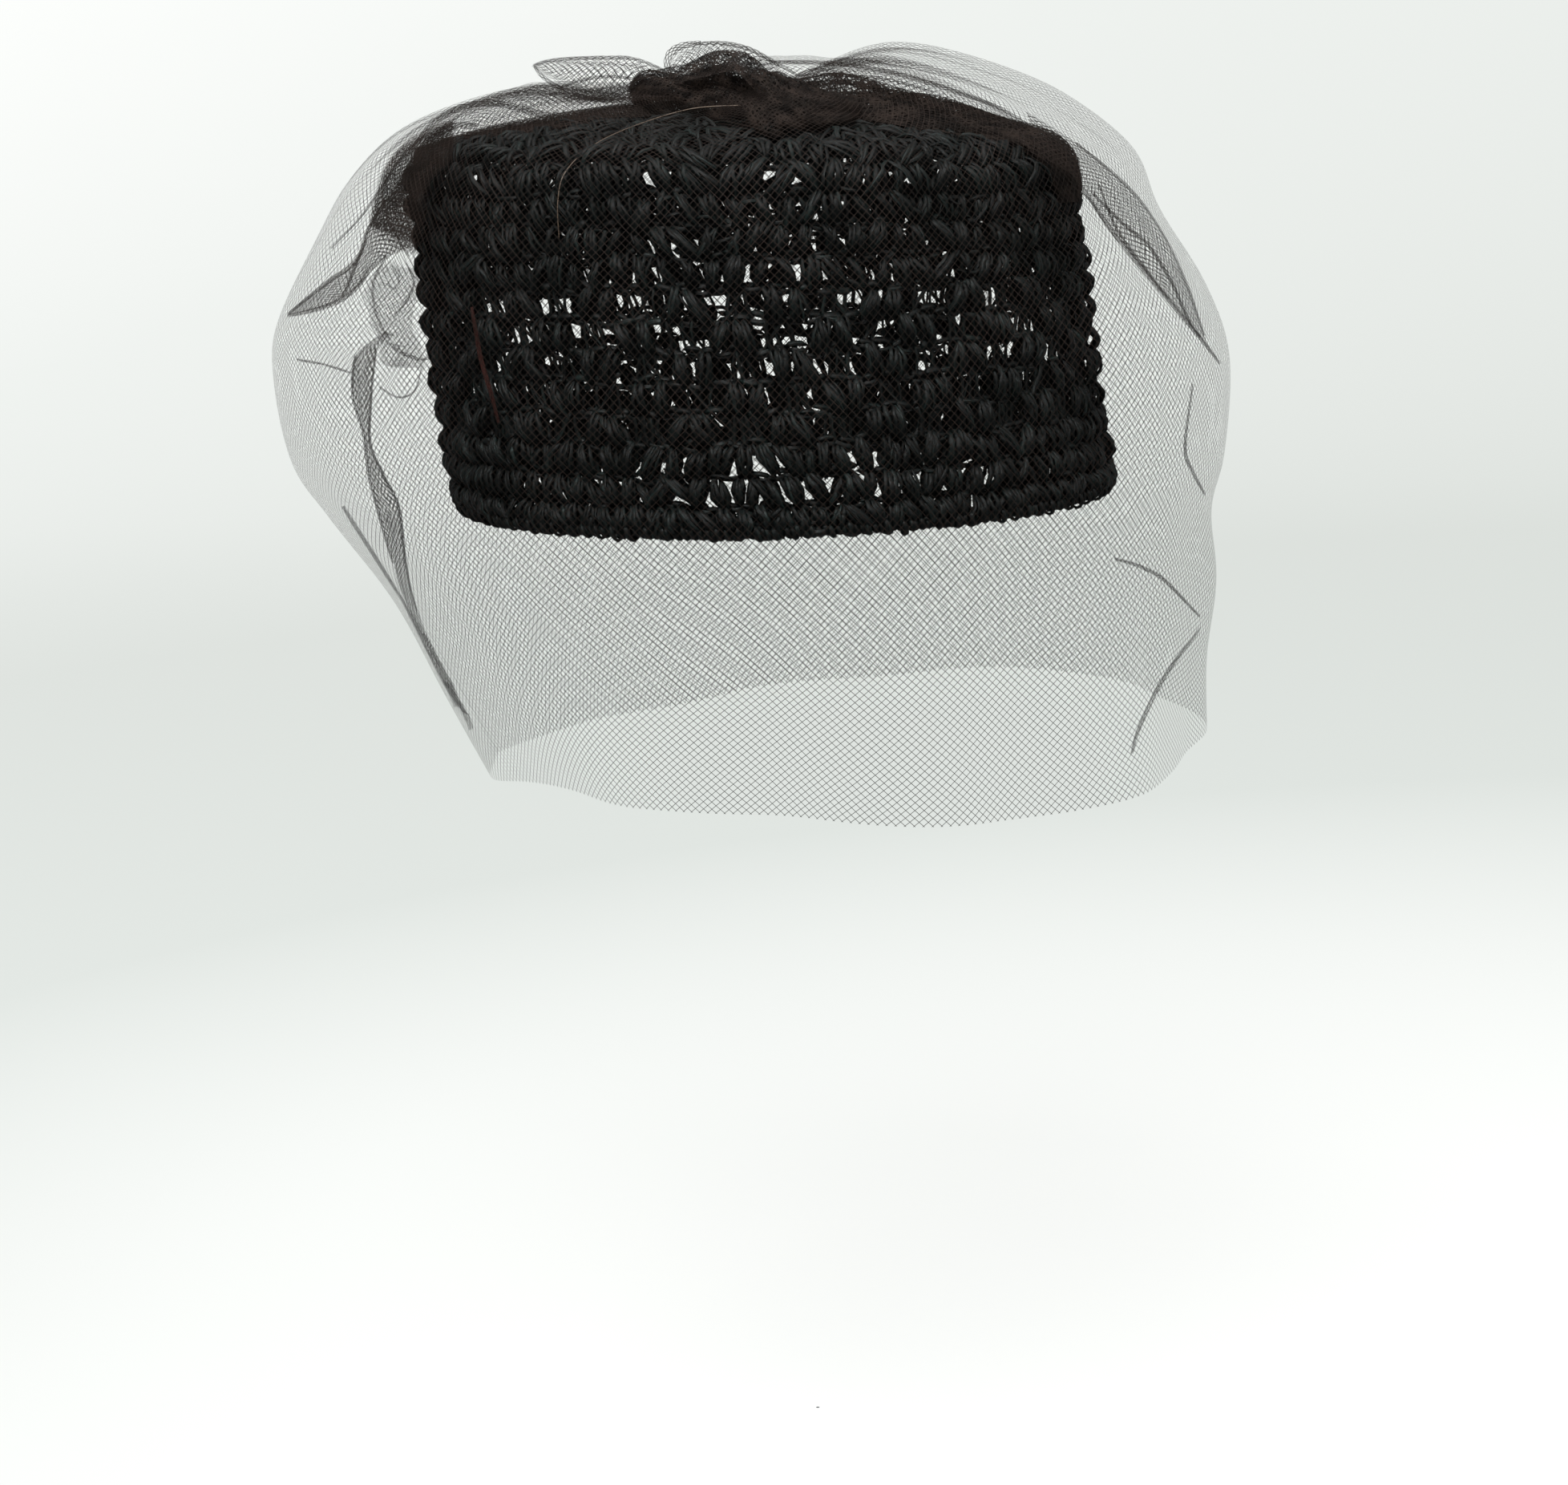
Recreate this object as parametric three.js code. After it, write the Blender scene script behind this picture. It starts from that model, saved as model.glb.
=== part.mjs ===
// A pillbox hat of openwork raffia with a gathered net veil.
// Millimetres, +Z up. The wearer faces -Y and the wearer's left is +X.
// The origin is the middle of the rim, where the hat sits on the head.
import * as THREE from 'three';

// Crown
const CROWN_RADIUS = 87;
const SHOULDER_HEIGHT = 85.5;
const DOME_RISE = 12.5;
const DOME_TOP = SHOULDER_HEIGHT + DOME_RISE;
const BACK_LEAN = 11; // how far the shoulder stands behind the rim
const LEAN_EASE = 0.8; // under 1, the wall leans more near the rim than near the shoulder
const RIGHT_RISE = 4; // how much higher the shoulder is at the wearer's right
const SHOULDER_ROUNDING = 7; // how far in from the side the dome starts to turn down
const DOME_EDGE_RISE = 4.2; // height over the shoulder where it does so
const DOME_FULLNESS = 0.55; // share of the radius over which the dome is nearly flat
const WALL = 2.4;
const GAP = 0.3; // clearance between pieces that touch on the real hat

// Raffia rows
const RIM_ROW_HEIGHT = 7.2;
const BAND_TOP = 79.2;
const BAND_ROWS = 11;
const PUFF_DEPTH = 1.2; // how far a puff stands out from the groove between rows
const LADDER_DEPTH = 0.5; // the same for the thin strands between two puffs
const REPEATS = 22; // puffs with their ladder openings round one row
const GAP_COURSES = 5;
const COURSE_LEVELS = 4; // crests and grooves from one course of openings to the next
const OPENING_MIDDLES = [0.25, 0.75]; // shares of one repeat, in every other course
const OPENING_HALF_WIDTH = { ends: 0.125, middle: 0.2 }; // shares of one repeat
const RIM_ROUNDING = { inner: 0.6, under: 0.9, outer: 1.6 };
const RIM_CREST = 5; // height where the rim row starts to draw in to its groove
const TIP_COILS = 5;
const TIP_SEGMENTS = 36;
const TIP_GROOVE = 0.7;
const TIP_EDGE_STEP = 0.5; // how far the tip's edge stands in from the side band's face
const TIP_INSIDE = [0.95, 0.89, 0.6]; // shares of the tip's line where its inside turns

// Net cloth
const NET_WALL = 1;
const VEIL_COLUMNS = 54;
const VEIL_PLEATS = 9;
const FRONT_LEFT_ANGLE = THREE.MathUtils.degToRad(-55);
// Each row is one ring of the veil, from the knot down to the hem. A pair is how far the
// ring reaches from the Z axis that way, and its height. pleat is the depth of its ripples,
// and sway is how far it lifts between those four ways, once up and once down on each side.
const VEIL_RINGS = [
  ring('knot', [7.1, 108.4], [35.4, 104], [10.9, 104], [24.9, 104], 0, 0),
  ring('crest', [24, 113.3], [48, 104.5], [24, 104], [36, 107], 0.8, 0),
  ring('inner tip', [39, 113], [64, 107], [41, 104], [51, 106], 1, 0),
  ring('outer tip', [60, 106.5], [83, 103.2], [58, 102.5], [66, 104], 1.2, 0),
  ring('over shoulder', [76, 98.7], [99, 96.2], [77, 98.5], [78, 100], 1.4, 0),
  ring('past shoulder', [92, 86], [111, 85], [91, 91], [93, 91], 1.4, 0),
  ring('upper side', [99, 71], [119.5, 72.4], [99, 76], [103, 77], 1.2, 0),
  ring('high side', [111, 52], [131, 52], [104, 55], [110, 56], 0.9, 0),
  ring('widest', [117.5, 33], [133.5, 38], [106, 33], [113, 34], 0.7, 0),
  ring('low side', [116.5, 8], [130, 15], [106, 10], [113, 10], 0.8, 0.5),
  ring('rim level', [112.5, -8], [121, 0], [105, -8], [110, -8], 1.1, 1.2),
  ring('below rim', [112.5, -27], [106, -22], [103.5, -28], [104, -27], 1.5, 2),
  ring('above hem', [108.5, -47], [94, -46], [102.5, -48], [94, -47], 1.9, 3),
  ring('hem', [107.5, -65.5], [82, -68], [102, -67.5], [84, -67], 2.2, 3.8),
];

// Knot of bunched net, an ellipsoid with grooves, its long axis toward the front left
const KNOT = { along: -13, across: -7, height: 102.5, halfLength: 22, halfWidth: 16.5, halfHeight: 11.5 };
const KNOT_GROOVE = 0.1; // share of the radius
const KNOT_GROOVES = 5;
const KNOT_SIDES = 20;
const KNOT_BANDS = 8;

// Bunched net on the tip. along is the distance over the crown from the middle of the dome.
const GATHER_COLUMNS = 8;
const GATHER_EDGE = 1;
const GATHER_RUFFLE = 0.14; // share of the thickness
const GATHER_FOLDS = 2.5; // grooves in half the width
const FRONT_GATHER = [
  { along: 19.5, halfWidth: 14, thickness: 7.5 },
  { along: 30, halfWidth: 18, thickness: 8.5 },
  { along: 45, halfWidth: 20, thickness: 8 },
  { along: 60, halfWidth: 21, thickness: 6.5 },
  { along: 72, halfWidth: 21, thickness: 5 },
  { along: 82, halfWidth: 20, thickness: 3.6 },
  { along: 90, halfWidth: 17, thickness: 2.4 },
  { along: 98, halfWidth: 12, thickness: 1 },
];
const BACK_GATHER = [
  { along: 27, halfWidth: 13, thickness: 2.8 },
  { along: 40, halfWidth: 16, thickness: 3.2 },
  { along: 55, halfWidth: 18, thickness: 3.2 },
  { along: 70, halfWidth: 18, thickness: 3.2 },
  { along: 82, halfWidth: 17, thickness: 2.4 },
  { along: 90, halfWidth: 14, thickness: 1.8 },
  { along: 97, halfWidth: 10, thickness: 1 },
];

// Directions of the hat's long section, which holds the knot, both gathers and both loops
const UP = new THREE.Vector3(0, 0, 1);
const FRONT_LEFT = new THREE.Vector3(Math.cos(FRONT_LEFT_ANGLE), Math.sin(FRONT_LEFT_ANGLE), 0);
const FRONT_RIGHT = new THREE.Vector3().crossVectors(FRONT_LEFT, UP);

const RAFFIA = { color: 0x15191b, roughness: 0.42, metalness: 0 };
const NET = { color: 0x35272b, roughness: 0.8, metalness: 0 };

// One row of the table of the veil's rings
function ring(at, frontLeft, backRight, frontRight, backLeft, pleat, sway) {
  return { at, frontLeft, backRight, frontRight, backLeft, pleat, sway };
}

// From 0 at a crest to 1 in a groove, with the turns counted from a crest
function groove(turns) {
  return 0.5 - 0.5 * Math.cos(turns * Math.PI * 2);
}

// How far the crown has leaned back at a height of the upright crown
function leanAt(height) {
  return BACK_LEAN * Math.max(height / SHOULDER_HEIGHT, 0) ** LEAN_EASE;
}

// The crown leans back and its shoulder tilts: a point of the upright crown goes to its place
function lean(point) {
  point.y += leanAt(point.z);
  point.z -= (point.z / SHOULDER_HEIGHT) * (RIGHT_RISE * point.x) / CROWN_RADIUS;
  return point;
}

function leanGeometry(geometry) {
  const position = geometry.getAttribute('position');
  const point = new THREE.Vector3();
  for (let i = 0; i < position.count; i += 1) {
    lean(point.fromBufferAttribute(position, i));
    position.setXYZ(i, point.x, point.y, point.z);
  }
  return geometry;
}

// Half section of the upright crown, from the middle of the dome over the shoulder to the rim
function crownLine() {
  const line = new THREE.Path();
  const edge = CROWN_RADIUS - SHOULDER_ROUNDING;
  const edgeHeight = SHOULDER_HEIGHT + DOME_EDGE_RISE;
  const control = CROWN_RADIUS * DOME_FULLNESS;
  const slope = (edgeHeight - DOME_TOP) / (edge - control);
  line.moveTo(0, DOME_TOP);
  line.quadraticCurveTo(control, DOME_TOP, edge, edgeHeight);
  line.quadraticCurveTo(CROWN_RADIUS, edgeHeight + slope * SHOULDER_ROUNDING, CROWN_RADIUS, BAND_TOP);
  line.lineTo(CROWN_RADIUS, 0);
  return line;
}

const CROWN_LINE = crownLine();
const CROWN_LENGTH = CROWN_LINE.getLength();

// A point at a distance along the crown line, lifted off the raffia
function crownSection(along, lift) {
  const share = along / CROWN_LENGTH;
  const point = CROWN_LINE.getPointAt(share);
  const tangent = CROWN_LINE.getTangentAt(share);
  return new THREE.Vector2(point.x - tangent.y * lift, point.y + tangent.x * lift);
}

// The same, turned to an angle about the crown and leaned with it
function crownPoint(along, angle, lift) {
  const section = crownSection(along, lift);
  return lean(new THREE.Vector3(section.x * Math.cos(angle), section.x * Math.sin(angle), section.y));
}

// An indexed geometry from points and triangles
function bodyOf(points, triangles) {
  const geometry = new THREE.BufferGeometry().setFromPoints(points);
  geometry.setIndex(triangles.flat());
  geometry.computeVertexNormals();
  return geometry;
}

// A piece of the object, with a material of its own
function piece(name, geometry, material) {
  const mesh = new THREE.Mesh(geometry, new THREE.MeshStandardMaterial(material));
  mesh.name = name;
  return mesh;
}

// Side band: a wall of raffia rows. Even levels are the grooves between rows and odd levels
// their crests. Each course of openings runs from one crest to the next, and every other
// course is shifted by half a repeat, so that openings and puffs alternate.
function sideBand() {
  const levels = BAND_ROWS * 2;
  const lines = OPENING_MIDDLES.length * 2; // in one repeat: two sides of each course's opening
  const columns = REPEATS * lines;
  const bottom = RIM_ROW_HEIGHT + GAP;
  const heightAt = (level) => bottom + ((BAND_TOP - bottom) * level) / levels;
  const courseOf = (level) => Math.min(Math.floor(Math.max(level - 1, 0) / COURSE_LEVELS), GAP_COURSES);
  const openSide = (level) => courseOf(level) % 2;
  const sideOf = (column) => Math.floor((column % lines) / 2);
  const isMiddle = (level) => level % COURSE_LEVELS === 2 && courseOf(level) < GAP_COURSES;

  function angleAt(level, column) {
    const side = sideOf(column);
    const open = side === openSide(level) && isMiddle(level);
    const half = open ? OPENING_HALF_WIDTH.middle : OPENING_HALF_WIDTH.ends;
    const middle = Math.floor(column / lines) + OPENING_MIDDLES[side];
    return ((middle + (column % 2 ? half : -half)) * Math.PI * 2) / REPEATS;
  }

  function radiusAt(level, column) {
    const bottomOfGroove = CROWN_RADIUS - PUFF_DEPTH;
    if (level % 2 === 0) return bottomOfGroove;
    return bottomOfGroove + (sideOf(column) === openSide(level) ? LADDER_DEPTH : PUFF_DEPTH);
  }

  function levelRing(level, radiusOf) {
    return Array.from({ length: columns }, (_, column) => {
      const angle = angleAt(level, column);
      const radius = radiusOf(level, column);
      return lean(new THREE.Vector3(radius * Math.cos(angle), radius * Math.sin(angle), heightAt(level)));
    });
  }

  const innerLevels = [0];
  for (let level = 1; level < levels - 2; level += 2) innerLevels.push(level);
  innerLevels.push(levels);
  const inside = () => CROWN_RADIUS - WALL;
  const points = [];
  for (let level = 0; level <= levels; level += 1) points.push(...levelRing(level, radiusAt));
  const innerStart = points.length;
  for (const level of innerLevels) points.push(...levelRing(level, inside));

  const outer = (level, column) => level * columns + (column % columns);
  const inner = (level, column) => innerStart + innerLevels.indexOf(level) * columns + (column % columns);
  const isOpen = (level, column) => {
    const within = (level - 1) % COURSE_LEVELS < 2 && level > 0 && courseOf(level) < GAP_COURSES;
    return within && column % lines === openSide(level) * 2;
  };

  const triangles = [];
  const fan = (...corners) => {
    for (let i = 1; i < corners.length - 1; i += 1) triangles.push([corners[0], corners[i], corners[i + 1]]);
  };
  for (let column = 0; column < columns; column += 1) {
    const next = column + 1;
    for (let level = 0; level < levels; level += 1) {
      if (!isOpen(level, column)) {
        fan(outer(level, column), outer(level, next), outer(level + 1, next), outer(level + 1, column));
      }
    }
    innerLevels.slice(0, -1).forEach((level, i) => {
      const above = innerLevels[i + 1];
      if (!isOpen(level, column)) {
        fan(inner(level, column), inner(above, column), inner(above, next), inner(level, next));
        return;
      }
      fan(outer(level, column), outer(level, next), inner(level, next), inner(level, column));
      fan(outer(above, column), inner(above, column), inner(above, next), outer(above, next));
      fan(
        outer(level + 1, column),
        outer(level, column),
        inner(level, column),
        inner(above, column),
        outer(above, column),
      );
      fan(
        outer(level + 1, next),
        outer(above, next),
        inner(above, next),
        inner(level, next),
        outer(level, next),
      );
    });
    fan(outer(0, column), inner(0, column), inner(0, next), outer(0, next));
    fan(outer(levels, column), outer(levels, next), inner(levels, next), inner(levels, column));
  }
  return bodyOf(points, triangles);
}

// Rim edge: one dense row, rounded outside and below
function rimEdge() {
  const inside = CROWN_RADIUS - WALL;
  const profile = [
    new THREE.Vector2(inside, RIM_ROUNDING.inner),
    new THREE.Vector2(CROWN_RADIUS - RIM_ROUNDING.under, 0),
    new THREE.Vector2(CROWN_RADIUS, RIM_ROUNDING.outer),
    new THREE.Vector2(CROWN_RADIUS, RIM_CREST),
    new THREE.Vector2(CROWN_RADIUS - PUFF_DEPTH, RIM_ROW_HEIGHT),
    new THREE.Vector2(inside, RIM_ROW_HEIGHT),
  ];
  profile.push(profile[0].clone());
  return leanGeometry(standing(new THREE.LatheGeometry(profile, REPEATS * 2)));
}

// Tip: a domed round of coiled rows, with grooves between them, down to the side band
function tip() {
  const end = CROWN_LENGTH - BAND_TOP;
  const turns = TIP_COILS * 2;
  const profile = [new THREE.Vector2(0, DOME_TOP)];
  for (let i = 0; i < turns; i += 1) {
    profile.push(crownSection((end * (i + 0.5)) / turns, i % 2 === 0 ? -TIP_GROOVE : 0));
  }
  profile.push(new THREE.Vector2(CROWN_RADIUS - TIP_EDGE_STEP, BAND_TOP + GAP));
  profile.push(new THREE.Vector2(CROWN_RADIUS - WALL, BAND_TOP + GAP));
  for (const share of TIP_INSIDE) profile.push(crownSection(end * share, -WALL));
  profile.push(new THREE.Vector2(0, DOME_TOP - WALL));
  return leanGeometry(standing(new THREE.LatheGeometry(profile.reverse(), TIP_SEGMENTS)));
}

// A lathe turns about Y, so its axis is stood up along Z
function standing(geometry) {
  return geometry.rotateX(Math.PI / 2);
}

// Veil: rings that are ellipses through four reaches, with ripples between them
const VEIL_LAST = VEIL_RINGS.length - 1;
const VEIL_LINES = Object.fromEntries(['frontLeft', 'backRight', 'frontRight', 'backLeft'].map((way) => [
  way,
  new THREE.SplineCurve(VEIL_RINGS.map((row) => new THREE.Vector2(...row[way]))),
]));

// A point of the smooth veil, at a share of its length and an angle from the front left
function veilForm(share, angle) {
  const frontLeft = VEIL_LINES.frontLeft.getPoint(share);
  const backRight = VEIL_LINES.backRight.getPoint(share);
  const frontRight = VEIL_LINES.frontRight.getPoint(share);
  const backLeft = VEIL_LINES.backLeft.getPoint(share);
  const cos = Math.cos(angle);
  const sin = Math.sin(angle);
  const along = (frontLeft.x - backRight.x) / 2 + ((frontLeft.x + backRight.x) / 2) * cos;
  const across = (frontRight.x - backLeft.x) / 2 - ((frontRight.x + backLeft.x) / 2) * sin;
  const lowerRow = VEIL_RINGS[Math.min(Math.floor(share * VEIL_LAST), VEIL_LAST - 1)];
  const upperRow = VEIL_RINGS[VEIL_RINGS.indexOf(lowerRow) + 1];
  const within = share * VEIL_LAST - VEIL_RINGS.indexOf(lowerRow);
  const height = cos * cos * (cos > 0 ? frontLeft.y : backRight.y)
    + sin * sin * (sin > 0 ? backLeft.y : frontRight.y)
    + THREE.MathUtils.lerp(lowerRow.sway, upperRow.sway, within) * Math.sin(2 * angle);
  return new THREE.Vector3()
    .addScaledVector(FRONT_LEFT, along)
    .addScaledVector(FRONT_RIGHT, across)
    .addScaledVector(UP, height);
}

function veilNormal(share, angle) {
  const step = 0.004;
  const low = Math.max(share - step, 0);
  const high = Math.min(share + step, 1);
  const down = veilForm(high, angle).sub(veilForm(low, angle));
  const round = veilForm(share, angle + step).sub(veilForm(share, angle - step));
  return down.cross(round).normalize();
}

function veil() {
  const place = (row, column, lift) => {
    const angle = (column * Math.PI * 2) / VEIL_COLUMNS;
    const ripple = VEIL_RINGS[row].pleat * Math.cos(angle * VEIL_PLEATS);
    const share = row / VEIL_LAST;
    return veilForm(share, angle).addScaledVector(veilNormal(share, angle), ripple + lift);
  };
  const loop = [];
  for (let row = 0; row <= VEIL_LAST; row += 1) loop.push([row, NET_WALL / 2]);
  for (let row = VEIL_LAST; row >= 0; row -= 1) loop.push([row, -NET_WALL / 2]);
  const points = loop.flatMap(([row, lift]) => (
    Array.from({ length: VEIL_COLUMNS }, (_, column) => place(row, column, lift))
  ));
  const at = (row, column) => (row % loop.length) * VEIL_COLUMNS + (column % VEIL_COLUMNS);
  const triangles = [];
  for (let row = 0; row < loop.length; row += 1) {
    for (let column = 0; column < VEIL_COLUMNS; column += 1) {
      triangles.push([at(row, column), at(row + 1, column), at(row + 1, column + 1)]);
      triangles.push([at(row, column), at(row + 1, column + 1), at(row, column + 1)]);
    }
  }
  return bodyOf(points, triangles);
}

// Knot: an ellipsoid with grooves, its underside shaped to the dome
function veilKnot() {
  const geometry = new THREE.SphereGeometry(1, KNOT_SIDES, KNOT_BANDS).rotateX(Math.PI / 2);
  const position = geometry.getAttribute('position');
  for (let i = 0; i < position.count; i += 1) {
    const unit = new THREE.Vector3().fromBufferAttribute(position, i);
    const angle = Math.atan2(unit.y, unit.x);
    const size = 1 - KNOT_GROOVE * groove((angle * KNOT_GROOVES) / (Math.PI * 2));
    const point = new THREE.Vector3()
      .addScaledVector(FRONT_LEFT, KNOT.along + unit.x * KNOT.halfLength * size)
      .addScaledVector(FRONT_RIGHT, KNOT.across - unit.y * KNOT.halfWidth * size)
      .addScaledVector(UP, KNOT.height + unit.z * KNOT.halfHeight);
    point.z = Math.max(point.z, domeAt(point) + GAP);
    position.setXYZ(i, point.x, point.y, point.z);
  }
  return geometry;
}

// Height of the leaned dome under a point near its middle
function domeAt(point) {
  const y = point.y - leanAt(DOME_TOP);
  const section = crownSection(Math.hypot(point.x, y), 0);
  return lean(new THREE.Vector3(point.x, y, section.y)).z;
}

// Gather: a pad of bunched net that lies on the crown and runs out from the knot
function gather(rows, middleAngle) {
  const sections = rows.map((row) => {
    const columns = Array.from({ length: GATHER_COLUMNS + 1 }, (_, i) => (2 * i) / GATHER_COLUMNS - 1);
    const radius = crownSection(row.along, 0).x;
    const angleOf = (across) => middleAngle + (across * row.halfWidth) / radius;
    const thicknessOf = (across) => {
      const ruffle = 1 - GATHER_RUFFLE * groove(across * GATHER_FOLDS);
      return GATHER_EDGE + row.thickness * Math.sqrt(1 - across * across) * ruffle;
    };
    return {
      low: columns.map((across) => crownPoint(row.along, angleOf(across), GAP)),
      high: columns.map((across) => crownPoint(row.along, angleOf(across), GAP + thicknessOf(across))),
    };
  });
  return loft(sections);
}

// A closed body through sections, each a row of low points under a row of high ones
function loft(sections) {
  const width = sections[0].low.length;
  const points = sections.flatMap(({ low, high }) => [...low, ...high]);
  const at = (section, side, column) => section * width * 2 + side * width + column;
  const triangles = [];
  const quad = (a, b, c, d) => triangles.push([a, b, c], [a, c, d]);
  const last = sections.length - 1;
  for (let i = 0; i < last; i += 1) {
    for (let column = 0; column < width - 1; column += 1) {
      quad(at(i, 1, column), at(i + 1, 1, column), at(i + 1, 1, column + 1), at(i, 1, column + 1));
      quad(at(i, 0, column), at(i, 0, column + 1), at(i + 1, 0, column + 1), at(i + 1, 0, column));
    }
    quad(at(i, 0, 0), at(i + 1, 0, 0), at(i + 1, 1, 0), at(i, 1, 0));
    quad(at(i, 0, width - 1), at(i, 1, width - 1), at(i + 1, 1, width - 1), at(i + 1, 0, width - 1));
  }
  for (let column = 0; column < width - 1; column += 1) {
    quad(at(0, 0, column), at(0, 1, column), at(0, 1, column + 1), at(0, 0, column + 1));
    quad(at(last, 0, column), at(last, 0, column + 1), at(last, 1, column + 1), at(last, 1, column));
  }
  return bodyOf(points, triangles);
}

// Net loop: a folded ribbon of net, drawn in the hat's long section and as wide as the fold.
// Its outline bulges by a rise above and a sag below the line that joins its two ends.
function netLoop({ from, to, rise, sag, width }) {
  const start = new THREE.Vector2(...from);
  const way = new THREE.Vector2(...to).sub(start);
  const half = way.length() / 2;
  const level = (rise - sag) / 2;
  const leaf = (path, longShare, tallShare) => {
    const at = (x, y) => [x * longShare, level + (y - level) * tallShare];
    path.moveTo(...at(-half, 0));
    path.quadraticCurveTo(...at(0, -2 * sag), ...at(half, 0));
    path.quadraticCurveTo(...at(0, 2 * rise), ...at(-half, 0));
    return path;
  };
  const shape = leaf(new THREE.Shape(), 1, 1);
  shape.holes.push(leaf(new THREE.Path(), 1 - (2 * NET_WALL) / half, 1 - (2 * NET_WALL) / (rise + sag)));
  const geometry = new THREE.ExtrudeGeometry(shape, { depth: width, bevelEnabled: false, curveSegments: 6 });
  geometry.translate(0, 0, KNOT.across - width / 2);
  geometry.rotateZ(way.angle());
  geometry.translate(start.x + way.x / 2, start.y + way.y / 2, 0);
  return geometry.applyMatrix4(new THREE.Matrix4().makeBasis(FRONT_LEFT, UP, FRONT_RIGHT));
}

const LOOP_BACK = { from: [-60, 114.5], to: [-31.3, 107.6], rise: 4.5, sag: 2, width: 22 };
const LOOP_TOP = { from: [-26, 114.3], to: [0, 114.3], rise: 4.2, sag: 0, width: 14 };

const hat = new THREE.Group();
hat.add(piece('side_band', sideBand(), RAFFIA));
hat.add(piece('rim_edge', rimEdge(), RAFFIA));
hat.add(piece('tip', tip(), RAFFIA));
hat.add(piece('veil', veil(), NET));
hat.add(piece('veil_knot', veilKnot(), NET));
hat.add(piece('gather_front', gather(FRONT_GATHER, FRONT_LEFT_ANGLE), NET));
hat.add(piece('gather_back', gather(BACK_GATHER, FRONT_LEFT_ANGLE + Math.PI), NET));
hat.add(piece('net_loop_back', netLoop(LOOP_BACK), NET));
hat.add(piece('net_loop_top', netLoop(LOOP_TOP), NET));

export default hat;
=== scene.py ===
# A pillbox hat of openwork raffia, under a net veil that is gathered into a knot on top.
# Sizes and tables are in millimetres. Meshes are made in metres, in the frame of the solids.
import math

import bpy
import numpy as np
from mathutils import Matrix, Vector


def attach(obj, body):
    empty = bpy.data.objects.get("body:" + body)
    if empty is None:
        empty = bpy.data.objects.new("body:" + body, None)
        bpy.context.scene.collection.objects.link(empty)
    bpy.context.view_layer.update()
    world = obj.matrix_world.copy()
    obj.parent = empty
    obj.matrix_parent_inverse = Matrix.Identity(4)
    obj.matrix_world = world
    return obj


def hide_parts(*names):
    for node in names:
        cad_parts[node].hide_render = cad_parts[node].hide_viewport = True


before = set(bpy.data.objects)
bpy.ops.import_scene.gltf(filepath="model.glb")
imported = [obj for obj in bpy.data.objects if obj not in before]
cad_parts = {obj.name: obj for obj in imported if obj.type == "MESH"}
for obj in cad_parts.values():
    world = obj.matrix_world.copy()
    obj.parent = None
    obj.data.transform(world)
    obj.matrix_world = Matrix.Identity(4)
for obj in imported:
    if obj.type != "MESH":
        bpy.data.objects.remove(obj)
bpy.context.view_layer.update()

MM = 0.001
TURN = 2 * math.pi
DRAW = np.random.default_rng(11)

# Crown, as in the solids
CROWN_RADIUS = 87
SHOULDER_HEIGHT = 85.5
DOME_TOP = 98
BACK_LEAN = 11
LEAN_EASE = 0.8
RIGHT_RISE = 4
SHOULDER_ROUNDING = 7
DOME_EDGE_HEIGHT = 89.7
DOME_FULLNESS = 0.55
WALL = 2.4
RIM_ROW_HEIGHT = 7.2
BAND_TOP = 79.2

# Raffia work
REPEATS = 23  # pairs of puffs in a row, each with its ladder
SIDE_ROWS = 10
SMALL_PUFFS = {0: 4, 1: 4, 7: 2, 8: 2, 9: 2}  # how many small puffs stand for each ladder of a row
THICK_ROW = 2  # row whose ladders are dense
PUFF_WIDTH = 4.5
PUFF_SPACING = 5.6
PUFF_REACH = 1.24  # height of a puff, as a share of the row
PUFF_STRANDS = 5
BACK_STRANDS = 2
CHAIN_PITCH = 4.3
RIM_PITCH = 4.6
TIP_ROWS = 12
TIP_PUFF_SPACING = 6

# Net
CELL = 1.5  # side of one diamond of the net
THREAD = 0.13
BUNCHED_THREAD = 0.32  # threads of net that is bunched in close layers
CREASE_GATHER = 3.0  # how closely the net's cells are drawn together across a crease
CELL_DIAGONAL = CELL * math.sqrt(2)
VEIL_CELLS = 349  # diamonds round the veil
VEIL_WIDTH = VEIL_CELLS * CELL_DIAGONAL
VEIL_COLUMNS = 640
VEIL_ROWS = 120
WIDEST_ROW = 73
FOLD_SAMPLES = 14  # points across each layer of a fold, and rows along it
FOLD_ROWS = 48
GATHER_SAMPLES = 40
GATHER_ROWS = 72
CREASE_SAMPLES = 8
CREASE_ROWS = 32
ROLL_SAMPLES = 44

# Colours, in linear light
# Raffia: fibre tones at random, with a blue-green tint and a raised lightest stop that are partly a painted
# sheen
RAFFIA_TONES_AND_PAINTED_SHEEN = [
    (0.36, (0.0003, 0.0005, 0.0005)), (0.7, (0.0115, 0.0185, 0.0172)), (0.54, (0.0017, 0.0027, 0.0025))]
THREAD_TONES = [(0.3, (0.05, 0.032, 0.02)), (0.7, (0.11, 0.075, 0.048))]
NET_BROWN = (0.0072, 0.0054, 0.0043), (0.0165, 0.0115, 0.0095)
# Bunched net: a darker copy of the net's brown with wide dark patches, a painted shade of close layers and
# folds over random tone
BUNCHED_BROWN_AND_PAINTED_SHADE = (0.0016, 0.0012, 0.001), (0.0125, 0.0086, 0.0067)
REDDISH_BROWN = (0.013, 0.005, 0.004), (0.03, 0.011, 0.009)
# Backdrop: glow colours, a painted light that dips darker in a ring round the middle and on the wall's
# front-left side
BACKDROP_PAINTED_LIGHT_TONES = [
    (0.1, (0.80, 0.815, 0.795)), (1, (0.91, 0.92, 0.905)), (0.25, (0.575, 0.61, 0.58)),
    (0.5, (0.61, 0.64, 0.61)), (0.83, (0.76, 0.785, 0.76)),
]

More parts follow.
